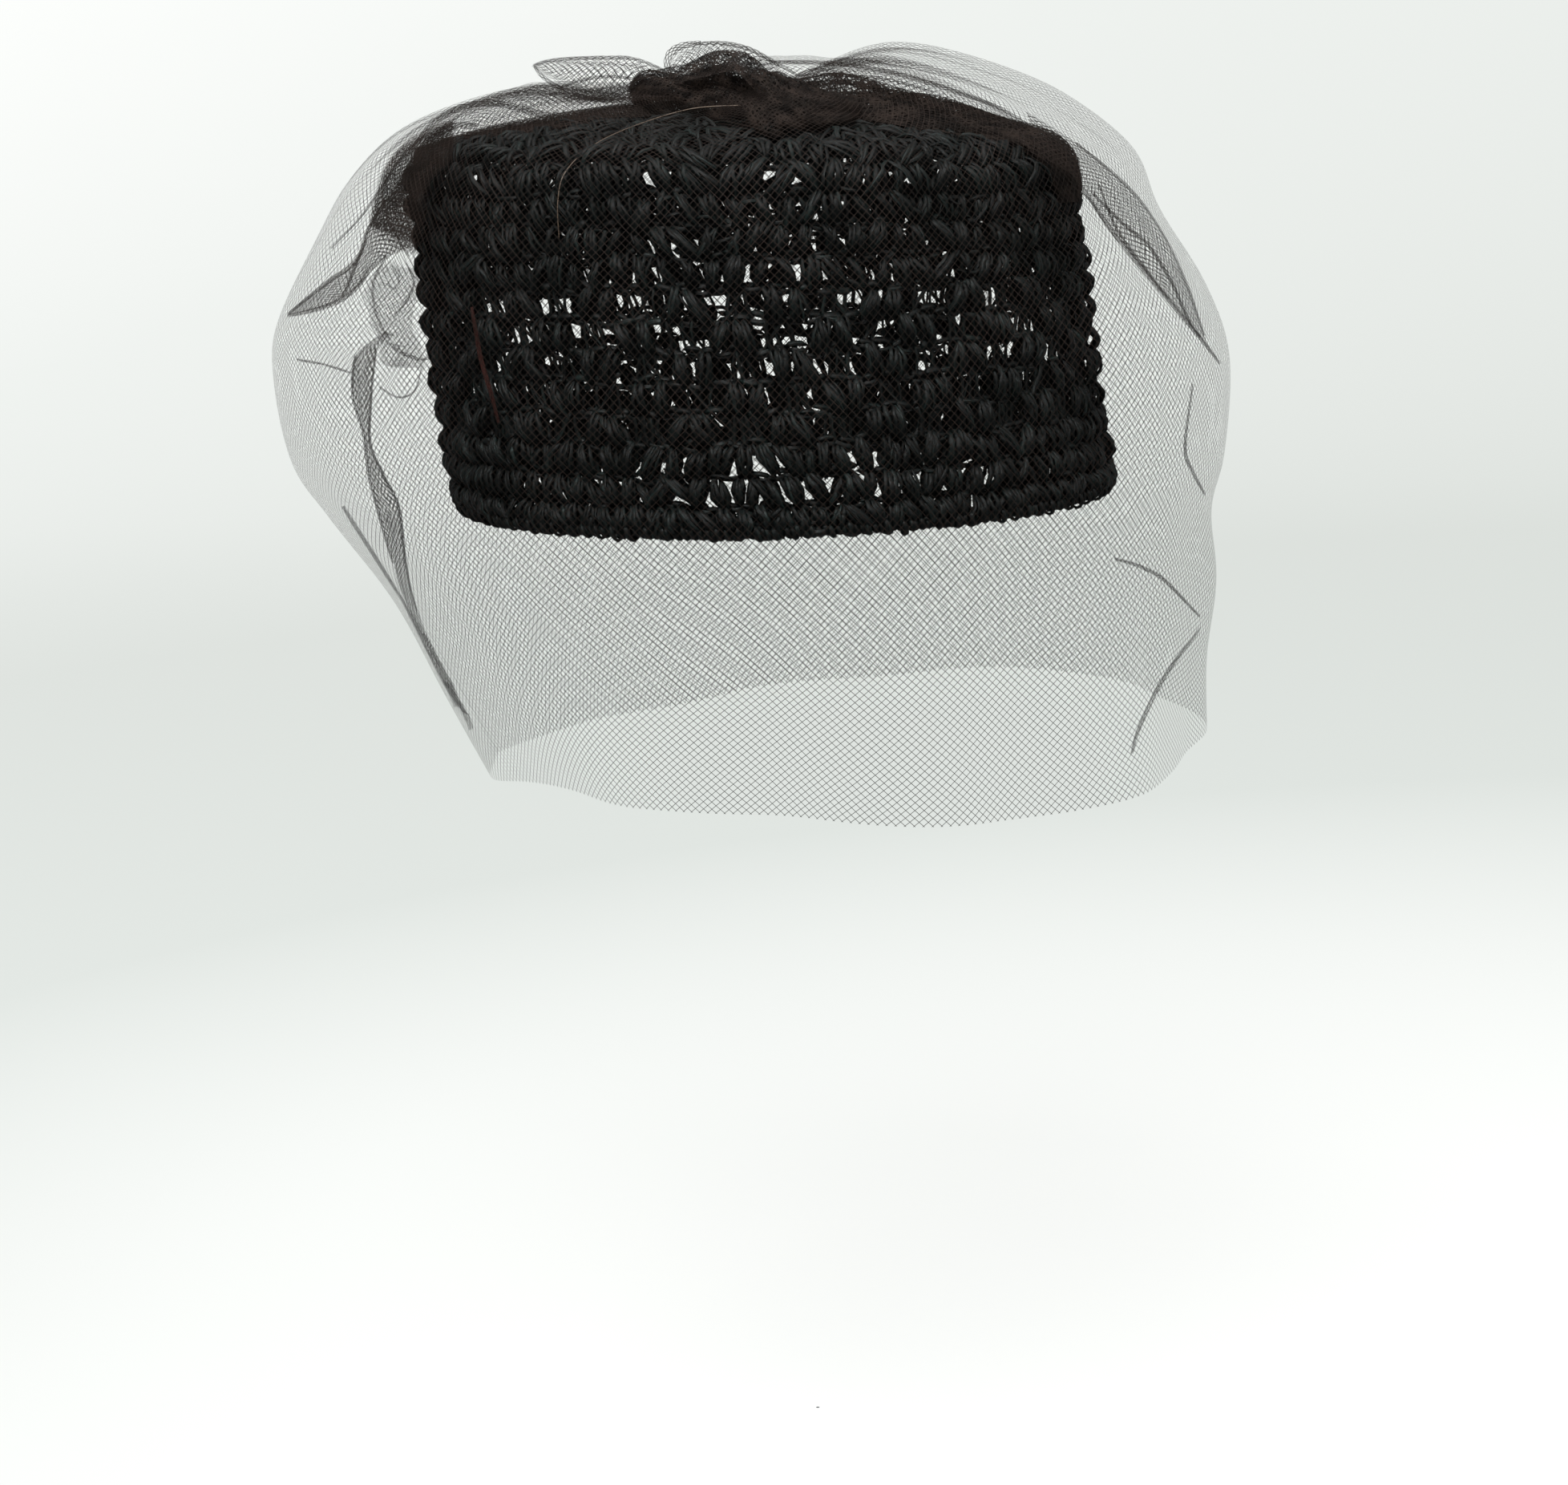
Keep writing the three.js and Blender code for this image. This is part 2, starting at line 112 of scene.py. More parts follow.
# Directions
FRONT_LEFT_ANGLE = math.radians(-55)
FRONT_LEFT = np.array([math.cos(FRONT_LEFT_ANGLE), math.sin(FRONT_LEFT_ANGLE), 0])
UP = np.array([0, 0, 1])
FRONT_RIGHT = np.cross(FRONT_LEFT, UP)

# Rings of the veil, as in the solids: reach and height toward four ways
VEIL_RINGS = np.array([
    # front left, back right, front right, back left
    [7.1, 108.4, 35.4, 104, 10.9, 104, 24.9, 104],  # knot
    [24, 113.3, 48, 104.5, 24, 104, 36, 107],  # crest
    [39, 113, 64, 107, 41, 104, 51, 106],  # inner tip
    [60, 106.5, 83, 103.2, 58, 102.5, 66, 104],  # outer tip
    [76, 98.7, 99, 96.2, 77, 98.5, 78, 100],  # over shoulder
    [92, 86, 111, 85, 91, 91, 93, 91],  # past shoulder
    [99, 71, 119.5, 72.4, 99, 76, 103, 77],  # upper side
    [111, 52, 131, 52, 104, 55, 110, 56],  # high side
    [117.5, 33, 133.5, 38, 106, 33, 113, 34],  # widest
    [116.5, 8, 130, 15, 106, 10, 113, 10],  # low side
    [112.5, -8, 121, 0, 105, -8, 110, -8],  # rim level
    [112.5, -27, 106, -22, 103.5, -28, 104, -27],  # below rim
    [108.5, -47, 94, -46, 102.5, -48, 94, -47],  # above hem
    [107.5, -65.5, 82, -68, 102, -67.5, 84, -67],  # hem
])
VEIL_PLEATS = [0, 0.8, 1, 1.2, 1.4, 1.4, 1.2, 0.9, 0.7, 0.8, 1.1, 1.5, 1.9, 2.2]
VEIL_SWAY = [0, 0, 0, 0, 0, 0, 0, 0, 0, 0.5, 1.2, 2, 3, 3.8]
PLEAT_COUNT = 9
# Small waves in the net: how many go round, height, phase, twist
FINE_WAVES = [(61, 0.5, 0.3, 1.3), (47, 0.45, 2.1, -1.7), (83, 0.3, 4.0, 2.2), (29, 0.5, 1.2, -0.8)]
SOFT_WAVES = [(5, 0.9, 0.4, 1.6), (13, 0.45, 2.9, -2.1), (21, 0.3, 5.1, 2.7)]

# Bunched net: distance over the crown, half width, thickness
FRONT_GATHER = np.array([
    [8, 12, 9],
    [19.5, 20, 9.6],
    [30, 26, 9.2],
    [45, 29, 8],
    [60, 28, 6.6],
    [72, 26, 5],
    [82, 22, 3.6],
    [90, 17, 2.4],
    [98, 12, 1],
])
BACK_GATHER = np.array([
    [24, 16, 3.4],
    [40, 22, 3],
    [55, 24, 2.4],
    [68, 20, 2],
    [78, 14, 1.6],
    [85, 8, 1],
])

# Rolled net: way to the front left, top, bottom, and reach to the front right and back left
KNOT = [
    [-37, 106.5, 99, 4, -12],
    [-34, 110, 96, 14, -18],
    [-28, 110.5, 93, 24, -22],
    [-21, 111.5, 91, 31, -23],
    [-15, 113.8, 88, 42, -23],
    [-8, 113.6, 85, 56, -23],
    [-2, 111.4, 84, 66, -22],
    [4, 109, 83, 70, -18],
    [10, 106.8, 84, 68, -12],
    [16, 104.6, 88, 58, -4],
    [21, 101, 94, 36, 4],
]
LOOP_BACK = [
    [-62, 113.9, 113.2, -5, -9],
    [-59, 114.8, 110.2, 0, -14],
    [-53, 115, 106.6, 4, -17],
    [-44, 115, 104, 5, -18],
    [-36, 114.4, 103, 4, -16],
    [-28, 111, 103, 0, -12],
]
LOOP_TOP = [
    [-27, 111.6, 109, -3, -9],
    [-25, 114.8, 108.5, 0, -13],
    [-19, 117.6, 109.5, 2, -14],
    [-12, 118, 110, 2, -14],
    [-5, 116, 109.5, 0, -13],
    [2, 111.5, 107, -3, -9],
]
FRONT_PUFF = [
    [-10, 113, 101, 8, -16],
    [2, 113.6, 101, 18, -24],
    [14, 113, 101, 24, -28],
    [26, 111.4, 100, 27, -31],
    [40, 107.4, 96, 29, -32],
    [52, 102.6, 91, 29, -30],
    [63, 96, 86, 24, -24],
    [72, 88.5, 82, 14, -14],
]
BACK_PUFF = [
    [-34, 108, 100, 12, -14],
    [-48, 108.4, 97.5, 24, -26],
    [-62, 109, 96, 30, -31],
    [-75, 106, 94, 32, -33],
    [-86, 99.5, 90, 28, -28],
    [-95, 90, 84, 20, -20],
    [-101, 80, 76, 8, -8],
]

# Folds that lie inside the veil: way to the front left and height of one edge, then of the other
FRONT_TUCK = [
    [63, 98, 64, 88],
    [76, 89.5, 73, 82.5],
    [90, 77, 79.5, 73.5],
    [99, 65.5, 87.5, 62.5],
    [104.5, 51, 97, 51],
    [108, 40, 107, 39.5],
    [111.5, 34, 113, 32],
]
BACK_TUCK = [
    [-92, 88, -88, 72],
    [-101, 77, -95.5, 69.3],
    [-103.2, 70, -100.3, 66.5],
    [-106.7, 66, -103.7, 62.2],
    [-111.5, 63.3, -108.7, 58.6],
    [-117.7, 59.3, -115, 56],
    [-127, 53.3, -127, 52.5],
]
CORNER_NET = [
    [-80, 101, -80, 92],
    [-90, 97, -86, 86],
    [-96.5, 91, -88, 79],
    [-100, 83, -89, 73],
    [-102, 75, -90, 69.5],
]
CRUMPLED_NET = [
    [-103.5, 63.5, -97, 65.5],
    [-106.5, 58.5, -94.5, 59.5],
    [-106.5, 53, -94, 52],
    [-104.5, 47.5, -93, 45],
    [-102.5, 42.5, -92.5, 40],
    [-99, 40, -93, 37.5],
]
TWISTED_BAND = [
    [-96, 52, -94, 51],
    [-104.9, 45.4, -98.7, 47],
    [-106, 35.5, -101, 33.8],
    [-103.8, 26, -101.9, 24],
    [-103.2, 16, -98.7, 16.4],
    [-101.9, 5.3, -95.5, 7.9],
    [-100.3, -8, -96, -10],
    [-99.8, -23, -95.5, -22],
    [-95.9, -40.5, -91.8, -41.6],
    [-91, -54, -89.5, -54],
]

# Creases in the veil: half width, then the way to the front left and the height along each
CREASES = [
    (0.55, [(75, 90), (90, 77.3), (99, 65.8), (104.5, 51.2), (108, 40)]),
    (0.6, [(73.2, 82.5), (79.3, 73.4), (87.3, 62.4), (97, 50.8), (107, 39.2), (113, 32)]),
    (0.5, [(78, 78), (86, 70), (93, 64), (98.5, 55), (103, 45), (106.5, 40)]),
    (0.4, [(80, 80), (84, 69), (91, 59), (97, 51)]),
    (0.3, [(72, 80.5), (77, 76.5), (80.5, 71), (84, 66)]),
    (0.6, [(-97, 82), (-101.5, 75), (-103.4, 69.5), (-106.9, 66), (-112, 63), (-118, 59), (-127, 52.8)]),
    (0.6, [(-95.5, 69.3), (-100.3, 66), (-103.7, 62), (-108.7, 58.5), (-115, 56), (-127, 52.6)]),
    (0.5, [(-101.8, 73), (-104.6, 67), (-106.6, 62.5), (-108.6, 59)]),
    (0.3, [(-123, 42.8), (-114.6, 42.7), (-106, 41.3)]),
    (0.25, [(-98.5, 38.5), (-93.5, 36.2), (-89, 38), (-87, 43.5)]),
    (0.45, [(-104.7, 45.6), (-106, 35.6), (-103.8, 26.4), (-103.2, 16), (-101.8, 5.4), (-100.2, -8)]),
    (0.45, [(-98.9, 47), (-101.1, 33.8), (-102, 24), (-98.9, 16.2), (-95.7, 7.7), (-96.2, -10),
            (-95.6, -22)]),
    (1.1, [(-113, 5.5), (-107, -6), (-101.5, -18), (-96.5, -31), (-91.5, -45), (-86.5, -60)]),
    (0.5, [(103, 29.5), (100.5, 14), (103, 7), (108, -1)]),
    (0.45, [(80, -10), (88, -14), (95, -19.5), (106.5, -33)]),
    (0.7, [(107, -36.5), (99.5, -39.5), (93, -45), (86.5, -54), (84, -60)]),
    (0.35, [(-113, 70), (-104, 78), (-97, 87), (-92, 94), (-86, 98)]),
    (0.3, [(-89.7, 69.5), (-93, 74), (-97.6, 82.2), (-96, 89), (-91.4, 93.4)]),
]
# A light fold over the hat
CREASE_OVER_HAT = [
    (0.55, [(-73.6, 58), (-72.6, 51.5), (-71.7, 45.6), (-69.7, 38.1), (-68.2, 31)]),
]
# Folded edges of the loops and of the net beside the hat, in the plane of its middle
CREASES_INSIDE = [
    (0.5, [(-61.6, 113.5), (-56, 114.6), (-50, 114.8), (-42, 114.7), (-34.7, 114), (-27.6, 110.9)]),
    (0.6, [(-61.4, 113.2), (-59.4, 110.6), (-55, 107.4), (-49.5, 105.2), (-43.5, 103.9), (-36, 103.2)]),
    (0.45, [(-55, 107.6), (-48, 109.5), (-40, 109.8), (-31, 108)]),
    (1.0, [(-26.4, 109.5), (-27, 112.5), (-26, 115.3), (-23.1, 117), (-18, 117.6)]),
    (0.6, [(-20, 117.4), (-12.6, 117.4), (-6, 115.8), (0, 112.6), (6, 109)]),
    (0.5, [(-24, 111), (-18, 113.8), (-11, 114.6), (-4, 113)]),
    (0.6, [(-0.5, 112.2), (8, 111.8), (18, 111), (28.5, 109), (38.5, 106.2), (49, 102.4), (58.9, 98.4),
           (69, 92)]),
    (0.45, [(6, 108.6), (18, 108.2), (30, 106.6), (42, 103)]),
    (0.9, [(-95, 92), (-88.4, 99.5), (-80.2, 103.6), (-70.9, 104), (-58.7, 100.7), (-48.4, 101.2),
           (-37, 102.5)]),
    (0.9, [(-97, 86), (-91, 94), (-84, 98.5), (-77, 98.8)]),
    (0.35, [(-103, 65), (-106, 60), (-106.6, 55), (-105.4, 49), (-103, 44)]),
    (0.35, [(-97.5, 64), (-95.6, 59), (-98, 54), (-101.5, 50)]),
    (0.3, [(-101, 63.5), (-99.4, 60), (-100.8, 57.4), (-103, 58.6)]),
    (0.5, [(-104, 44), (-100, 40.6), (-95.5, 38.6), (-92.5, 39)]),
]
# Creases on the far side, which the hat hides in the photograph
CREASES_BEHIND = [
    (1.8, [(-40, 92), (-52, 70), (-55, 45), (-50, 20)]),
    (1.4, [(8, 95), (12, 72), (8, 48), (14, 24)]),
    (1.6, [(48, 90), (58, 68), (60, 44), (54, 18)]),
]

# A stray thread over the shoulder: way to the front left, way to the front right, height
STRAY_THREAD = [
    [-52.6, 75.5, 73],
    [-52.5, 75.5, 81.6],
    [-50.5, 73, 88.5],
    [-43.5, 66, 94.6],
    [-33, 58, 98.8],
    [-20, 54, 102],
    [-8, 54, 102.4],
]


# Surfaces

def bend(start, control, end):
    """Points of a quadratic curve."""
    t = np.linspace(0, 1, 80)[:, None]
    return (1 - t) ** 2 * np.array(start) + 2 * t * (1 - t) * np.array(control) + t * t * np.array(end)


def crown_line():
    """Half section of the upright crown, from the middle of the dome to below the rim, and its lengths."""
    edge = CROWN_RADIUS - SHOULDER_ROUNDING
    control = CROWN_RADIUS * DOME_FULLNESS
    slope = (DOME_EDGE_HEIGHT - DOME_TOP) / (edge - control)
    corner = (CROWN_RADIUS, DOME_EDGE_HEIGHT + slope * SHOULDER_ROUNDING)
    points = np.concatenate([
        bend((0, DOME_TOP), (control, DOME_TOP), (edge, DOME_EDGE_HEIGHT)),
        bend((edge, DOME_EDGE_HEIGHT), corner, (CROWN_RADIUS, BAND_TOP))[1:],
        [[CROWN_RADIUS, 0], [CROWN_RADIUS, -20]],
    ])
    steps = np.linalg.norm(np.diff(points, axis=0), axis=1)
    return np.concatenate([[0], np.cumsum(steps)]), points


LINE_LENGTHS, LINE_POINTS = crown_line()
CROWN_LENGTH = LINE_LENGTHS[-2]
TIP_LENGTH = CROWN_LENGTH - BAND_TOP


def line_point(along):
    """Radius and height of a point at a distance down the half section."""
    radius = np.interp(along, LINE_LENGTHS, LINE_POINTS[:, 0])
    return radius, np.interp(along, LINE_LENGTHS, LINE_POINTS[:, 1])


def row_radius(along):
    return float(line_point(along)[0])


def lean(points):
    """A point of the upright crown goes to its place on the leaning one."""
    x, y, z = points[..., 0], points[..., 1], points[..., 2]
    back = BACK_LEAN * np.maximum(z / SHOULDER_HEIGHT, 0) ** LEAN_EASE
    drop = z / SHOULDER_HEIGHT * RIGHT_RISE * x / CROWN_RADIUS
    return np.stack([x, y + back, z - drop], axis=-1)


def crown_place(along, angle, lift):
    """A point at a distance over the crown and an angle about it, lifted off the raffia."""
    reach = 1.5
    radius, height = line_point(along)
    low_radius, low_height = line_point(along + reach)
    high_radius, high_height = line_point(along - reach)
    run = np.hypot(low_radius - high_radius, low_height - high_height)
    radius = radius - (low_height - high_height) / run * lift
    height = height + (low_radius - high_radius) / run * lift
    return lean(np.stack([radius * np.cos(angle), radius * np.sin(angle), height], axis=-1))


def spline(rows, share):
    """A smooth line through rows of numbers, at shares of the way from the first to the last."""
    rows = np.asarray(rows, float)
    last = len(rows) - 1
    spot = np.clip(np.asarray(share, float) * last, 0, last)
    low = np.minimum(spot.astype(int), last - 1)
    t = (spot - low).reshape(spot.shape + (1,) * (rows.ndim - 1))
    before, start = rows[np.maximum(low - 1, 0)], rows[low]
    end, after = rows[low + 1], rows[np.minimum(low + 2, last)]
    leave, arrive = (end - before) / 2, (after - start) / 2
    return ((2 * start - 2 * end + leave + arrive) * t ** 3
            + (3 * end - 3 * start - 2 * leave - arrive) * t ** 2 + leave * t + start)


def veil_form(share, angle):
    """A point of the smooth veil, at a share of its length and an angle from the front left."""
    fl, fl_z, br, br_z, fr, fr_z, bl, bl_z = np.moveaxis(spline(VEIL_RINGS, share), -1, 0)
    cos, sin = np.cos(angle), np.sin(angle)
    along = (fl - br) / 2 + (fl + br) / 2 * cos
    across = (fr - bl) / 2 - (fr + bl) / 2 * sin
    rings = np.arange(len(VEIL_SWAY)) / (len(VEIL_SWAY) - 1)
    height = (cos ** 2 * np.where(cos > 0, fl_z, br_z) + sin ** 2 * np.where(sin > 0, bl_z, fr_z)
              + np.interp(share, rings, VEIL_SWAY) * np.sin(2 * angle))
    return along[..., None] * FRONT_LEFT + across[..., None] * FRONT_RIGHT + height[..., None] * UP


def veil_depth(along, height, inset, side):
    """Way to the front right of a point inside the veil, on its near side (1) or far side (-1)."""
    rings = VEIL_RINGS[3:]
    reaches = [np.interp(-height, -rings[:, way + 1], rings[:, way]) for way in (0, 2, 4, 6)]
    front_left, back_right, front_right, back_left = reaches
    share = (along - (front_left - back_right) / 2) / ((front_left + back_right) / 2 - inset)
    reach = (front_right + back_left) / 2 - inset
    return (front_right - back_left) / 2 + side * reach * np.sqrt(np.maximum(1 - share ** 2, 0))


def section_point(along, toward, height):
    """A point from its way to the front left, its way to the front right and its height."""
    return along[..., None] * FRONT_LEFT + toward[..., None] * FRONT_RIGHT + height[..., None] * UP


def dome_height(along, toward):
    """Height of the tip's raffia under a point."""
    spot = section_point(along, toward, 0 * along)
    back = BACK_LEAN * (DOME_TOP / SHOULDER_HEIGHT) ** LEAN_EASE
    height = np.interp(np.hypot(spot[..., 0], spot[..., 1] - back), LINE_POINTS[:, 0], LINE_POINTS[:, 1])
    return height - height / SHOULDER_HEIGHT * RIGHT_RISE * spot[..., 0] / CROWN_RADIUS


def crumple(across, along, across_size, along_size):
    """Uneven folds: a sum of waves that run every way, about 1 high."""
    count = 7
    total = 0
    for _ in range(count):
        total = total + np.sin(across * across_size * DRAW.uniform(-1, 1)
                               + along * along_size * DRAW.uniform(-1, 1) + DRAW.uniform(0, TURN))
    return total * math.sqrt(2 / count)


def waves(table, angle, length, reach):
    """A sum of waves round the veil, which twist along its length."""
    return sum(size * np.sin(count * angle + phase + twist * length / reach)
               for count, size, phase, twist in table)


def joined(*parts):
    """Coordinates, each of them an array or one number, as an array of points."""
    return np.stack(np.broadcast_arrays(*parts), axis=-1)


def unit(vectors):
    return vectors / np.maximum(np.linalg.norm(vectors, axis=-1, keepdims=True), 1e-9)


def grid_normals(points):
    """Normals of a grid of points that closes on itself sideways."""
    down = np.gradient(points, axis=0)
    wrapped = np.concatenate([points[:, -1:], points, points[:, :1]], axis=1)
    return unit(np.cross(down, (wrapped[:, 2:] - wrapped[:, :-2]) / 2))


# Meshes

def make_mesh(name, points, faces, uv, material):
    """An object from points, a list of index arrays and the place of each corner on the flat cloth."""
    mesh = bpy.data.meshes.new(name)
    corners = np.concatenate([f.ravel() for f in faces]).astype(np.int32)
    sizes = np.concatenate([np.full(len(f), f.shape[1]) for f in faces])
    mesh.vertices.add(len(points))
    mesh.vertices.foreach_set("co", (points * MM).astype(np.float32).ravel())
    mesh.loops.add(len(corners))
    mesh.loops.foreach_set("vertex_index", corners)
    mesh.polygons.add(len(sizes))
    starts = np.concatenate([[0], np.cumsum(sizes)[:-1]])
    mesh.polygons.foreach_set("loop_start", starts.astype(np.int32))
    mesh.update(calc_edges=True)
    mesh.uv_layers.new(name="flat").data.foreach_set("uv", uv.astype(np.float32).ravel())
    mesh.shade_smooth()
    mesh.materials.append(material)
    piece = bpy.data.objects.new(name, mesh)
    bpy.context.scene.collection.objects.link(piece)
    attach(piece, "root")
    return piece


def grid_mesh(points, wide, long, closed=False):
    """Faces of a grid of points and the place of each corner on the flat cloth."""
    rows, columns = points.shape[:2]
    across = columns if closed else columns - 1
    row, column = np.meshgrid(np.arange(rows - 1), np.arange(across), indexing="ij")
    corners = [(row, column), (row + 1, column), (row + 1, column + 1), (row, column + 1)]
    faces = np.stack([r * columns + c % columns for r, c in corners], axis=-1).reshape(-1, 4)
    uv = np.stack([np.stack([wide[c], long[r]], axis=-1) for r, c in corners], axis=-2)
    return faces, uv.reshape(-1, 2)


def make_sheet(name, points, wide, long, material, closed=False):
    """A net piece from a grid of points. wide and long place each column and row on flat cloth."""
    faces, uv = grid_mesh(points, wide, long, closed)
    return make_mesh(name, points.reshape(-1, 3), [faces], uv, material)


def cloth_lengths(points, axis):
    """Places of the columns (axis 1) or rows (axis 0) of a grid on the cloth that it was cut from."""
    steps = np.linalg.norm(np.diff(points, axis=axis), axis=2).mean(axis=1 - axis)
    return np.concatenate([[0], np.cumsum(steps)])


def net_piece(name, points, material, drawn=1.0):
    """Net cut to the size that its grid has when it is laid flat. drawn tells how close its cells are."""
    wide, long = cloth_lengths(points, 1), cloth_lengths(points, 0)
    cells = np.cross(np.diff(points, axis=1)[:-1], np.diff(points, axis=0)[:, :-1])
    piece = make_sheet(name, points, wide * drawn, long, material)
    return piece


def strand_faces(count, steps):
    """Faces of closed strands of four corners that are pointed at both ends, and their corners' places."""
    size = 4 * (steps - 2) + 2
    ring, corner = np.meshgrid(np.arange(steps - 3), np.arange(4), indexing="ij")
    ring, corner = ring.ravel(), corner.ravel()
    turned = (corner + 1) % 4
    here, beside = 1 + 4 * ring + corner, 1 + 4 * ring + turned
    sides = joined(here, here + 4, beside + 4, beside)
    four = np.arange(4)
    first = joined(0, 1 + four, 1 + (four + 1) % 4)
    final_ring = size - 5
    final = joined(size - 1, final_ring + (four + 1) % 4, final_ring + four)
    starts = (np.arange(count) * size)[:, None, None]
    faces = [(part + starts).reshape(-1, part.shape[1]) for part in (sides, first, final)]
    places = [
        [(corner, ring + 1), (corner, ring + 2), (corner + 1, ring + 2), (corner + 1, ring + 1)],
        [(four + 0.5, 0), (four, 1), (four + 1, 1)],
        [(four + 0.5, steps - 1), (four + 1, steps - 2), (four, steps - 2)],
    ]
    return faces, [np.stack([joined(*place) for place in part], axis=1).reshape(-1, 2) for part in places]


class Strands:
    """Strands of raffia, gathered in batches and made into one mesh."""

    def __init__(self):
        self.points, self.faces, self.uv, self.count = [], [], [], 0

    def add(self, paths, wide, thick, facing, along, angle):
        """paths (n, k, 3) tell how far round, up and out each point is from its strand's spot."""
        n, steps, _ = paths.shape
        way = unit(np.gradient(paths, axis=1))
        side = unit(np.cross(way, np.broadcast_to(facing, paths.shape)))
        out = np.cross(side, way)
        wide = np.broadcast_to(wide, (n, steps))[..., None]
        thick = np.broadcast_to(thick, (n, steps))[..., None]
        corners = [paths + side * wide, paths + out * thick, paths - side * wide, paths - out * thick]
        rings = np.stack(corners, axis=2)
        flat = np.concatenate([paths[:, :1], rings[:, 1:-1].reshape(n, -1, 3), paths[:, -1:]], axis=1)
        row = np.broadcast_to(along, n)[:, None]
        spot = np.broadcast_to(angle, n)[:, None]
        radius = np.maximum(line_point(row)[0], 3)
        placed = crown_place(row - flat[..., 1], spot + flat[..., 0] / radius, flat[..., 2])
        faces, shares = strand_faces(n, steps)
        gone = np.cumsum(np.linalg.norm(np.diff(paths, axis=1), axis=2), axis=1)
        lengths = np.concatenate([np.zeros((n, 1)), gone], axis=1)
        start = DRAW.uniform(0, 900, (n, 2))
        for part, places in zip(faces, shares):
            u = places[None, :, 0] * 0.9 + start[:, :1]
            v = lengths[:, places[:, 1].astype(int)] + start[:, 1:]
            self.uv.append(np.stack([u, v], axis=-1).reshape(-1, 2))
            self.faces.append(part + self.count)
        self.points.append(placed.reshape(-1, 3))
        self.count += placed.shape[0] * placed.shape[1]

    def make(self, name, material):
        return make_mesh(name, np.concatenate(self.points), self.faces, np.concatenate(self.uv), material)


# Materials

class Look:
    """A material, with the nodes that are added to it."""

    def __init__(self, name):
        self.material = bpy.data.materials.new(name)
        self.material.use_nodes = True
        self.tree = self.material.node_tree

    def fill(self, node, inputs):
        """Links each socket, and sets each value, to the node's input of that name or number."""
        for name, value in inputs.items():
            if isinstance(value, bpy.types.NodeSocket):
                self.tree.links.new(value, node.inputs[name])
            else:
                node.inputs[name].default_value = value

    def add(self, kind, inputs, **settings):
        """The outputs of a new node."""
        node = self.tree.nodes.new("ShaderNode" + kind)
        for name, value in settings.items():
            setattr(node, name, value)
        self.fill(node, inputs)
        return node.outputs

    def flat(self):
        """The place on the flat cloth."""
        return self.add("UVMap", {}, uv_map="flat")["UV"]

    def noise(self, vector, scale, detail):
        inputs = {"Vector": vector, "Scale": scale, "Detail": detail, "Roughness": 0.6}
        return self.add("TexNoise", inputs)["Fac"]

    def math(self, operation, *values):
        return self.add("Math", dict(enumerate(values)), operation=operation)[0]

    def ramp(self, factor, stops):
        """Colours between the first two stops and the others, each a place and a colour."""
        color = self.add("ValToRGB", {"Fac": factor})["Color"]
        elements = color.node.color_ramp.elements
        for element, (place, tone) in zip(elements, stops):
            element.position = place
            element.color = (*tone, 1)
        for place, tone in stops[2:]:
            elements.new(place).color = (*tone, 1)
        return color

    def finish(self, inputs):
        """Fills the surface's own inputs and gives the material."""
        self.fill(self.tree.nodes["Principled BSDF"], inputs)
        return self.material


def raffia_material():
    """Black raffia: satin strands with fine fibres along them, each a little lighter or darker; its
    blue-green tint and lightest fibres are partly a painted sheen.
    """
    look = Look("raffia_black")
    flat = look.flat()
    fibres = look.noise(look.add("Mapping", {"Vector": flat, "Scale": (2.6, 0.1, 1)})["Vector"], 1, 4)
    tone = look.math("MULTIPLY", look.noise(flat, 0.05, 1), 0.4)
    rough = look.add("MapRange", {
        "Value": fibres, "From Min": 0.3, "From Max": 0.7, "To Min": 0.6, "To Max": 0.36})
    bump = look.add("Bump", {"Height": fibres, "Strength": 0.8, "Distance": 0.35 * MM})
    return look.finish({
        # Base colour: random fibre and strand tone, tinted blue-green with its lightest fibres raised as a
        # painted sheen
        "Base Color": look.ramp(look.math("MULTIPLY_ADD", fibres, 0.62, tone), RAFFIA_TONES_AND_PAINTED_SHEEN),
        "Roughness": rough["Result"],
        "Normal": bump["Normal"],
        "Specular IOR Level": 0.13,
    })


def net_material(name, thread, turns=(0,), tones=NET_BROWN, uneven=False):
    """Fine net: dark brown threads in diamonds, open between, with one grid for each turn in radians."""
    look = Look(name)
    flat = look.flat()
    patches = look.noise(flat, 0.14, 2) if uneven else look.noise(flat, 0.06, 0)
    nearest = None
    for turn in turns:
        turned = look.add("Mapping", {"Vector": flat, "Rotation": (0, 0, turn)})["Vector"]
        place = look.add("SeparateXYZ", {"Vector": turned})
        for sign in ("ADD", "SUBTRACT"):
            off = look.math("PINGPONG", look.math(sign, place["X"], place["Y"]), CELL_DIAGONAL / 2)
            nearest = off if nearest is None else look.math("MINIMUM", nearest, off)
    if uneven:
        spread = look.math("MULTIPLY", look.math("SUBTRACT", patches, 0.5), 0.95)
        nearest = look.math("SUBTRACT", nearest, spread)
    line = look.add("MapRange", {"Value": nearest, "From Min": 1.2 * thread, "From Max": 0.28 * thread},
                    interpolation_type="SMOOTHSTEP")
    return look.finish({
        # The bunched tones darken the net and spread its patches wide, a painted shade of close layers and
        # folds
        "Base Color": look.ramp(patches, list(zip((0.34, 0.66), tones))),
        "Alpha": line["Result"],
        "Roughness": 0.75,
        "Specular IOR Level": 0.06,
    })


def thread_material():
    """A light brown thread."""
    look = Look("thread_brown")
    tone = look.noise(look.flat(), 0.3, 2)
    return look.finish({"Base Color": look.ramp(tone, THREAD_TONES), "Roughness": 0.5})


# Raffia pieces

def spaced(count, spread, shift=0):
    """Angles all round the crown, each a little off its place."""
    return (np.arange(count) + shift + DRAW.normal(0, spread, count)) / count * TURN


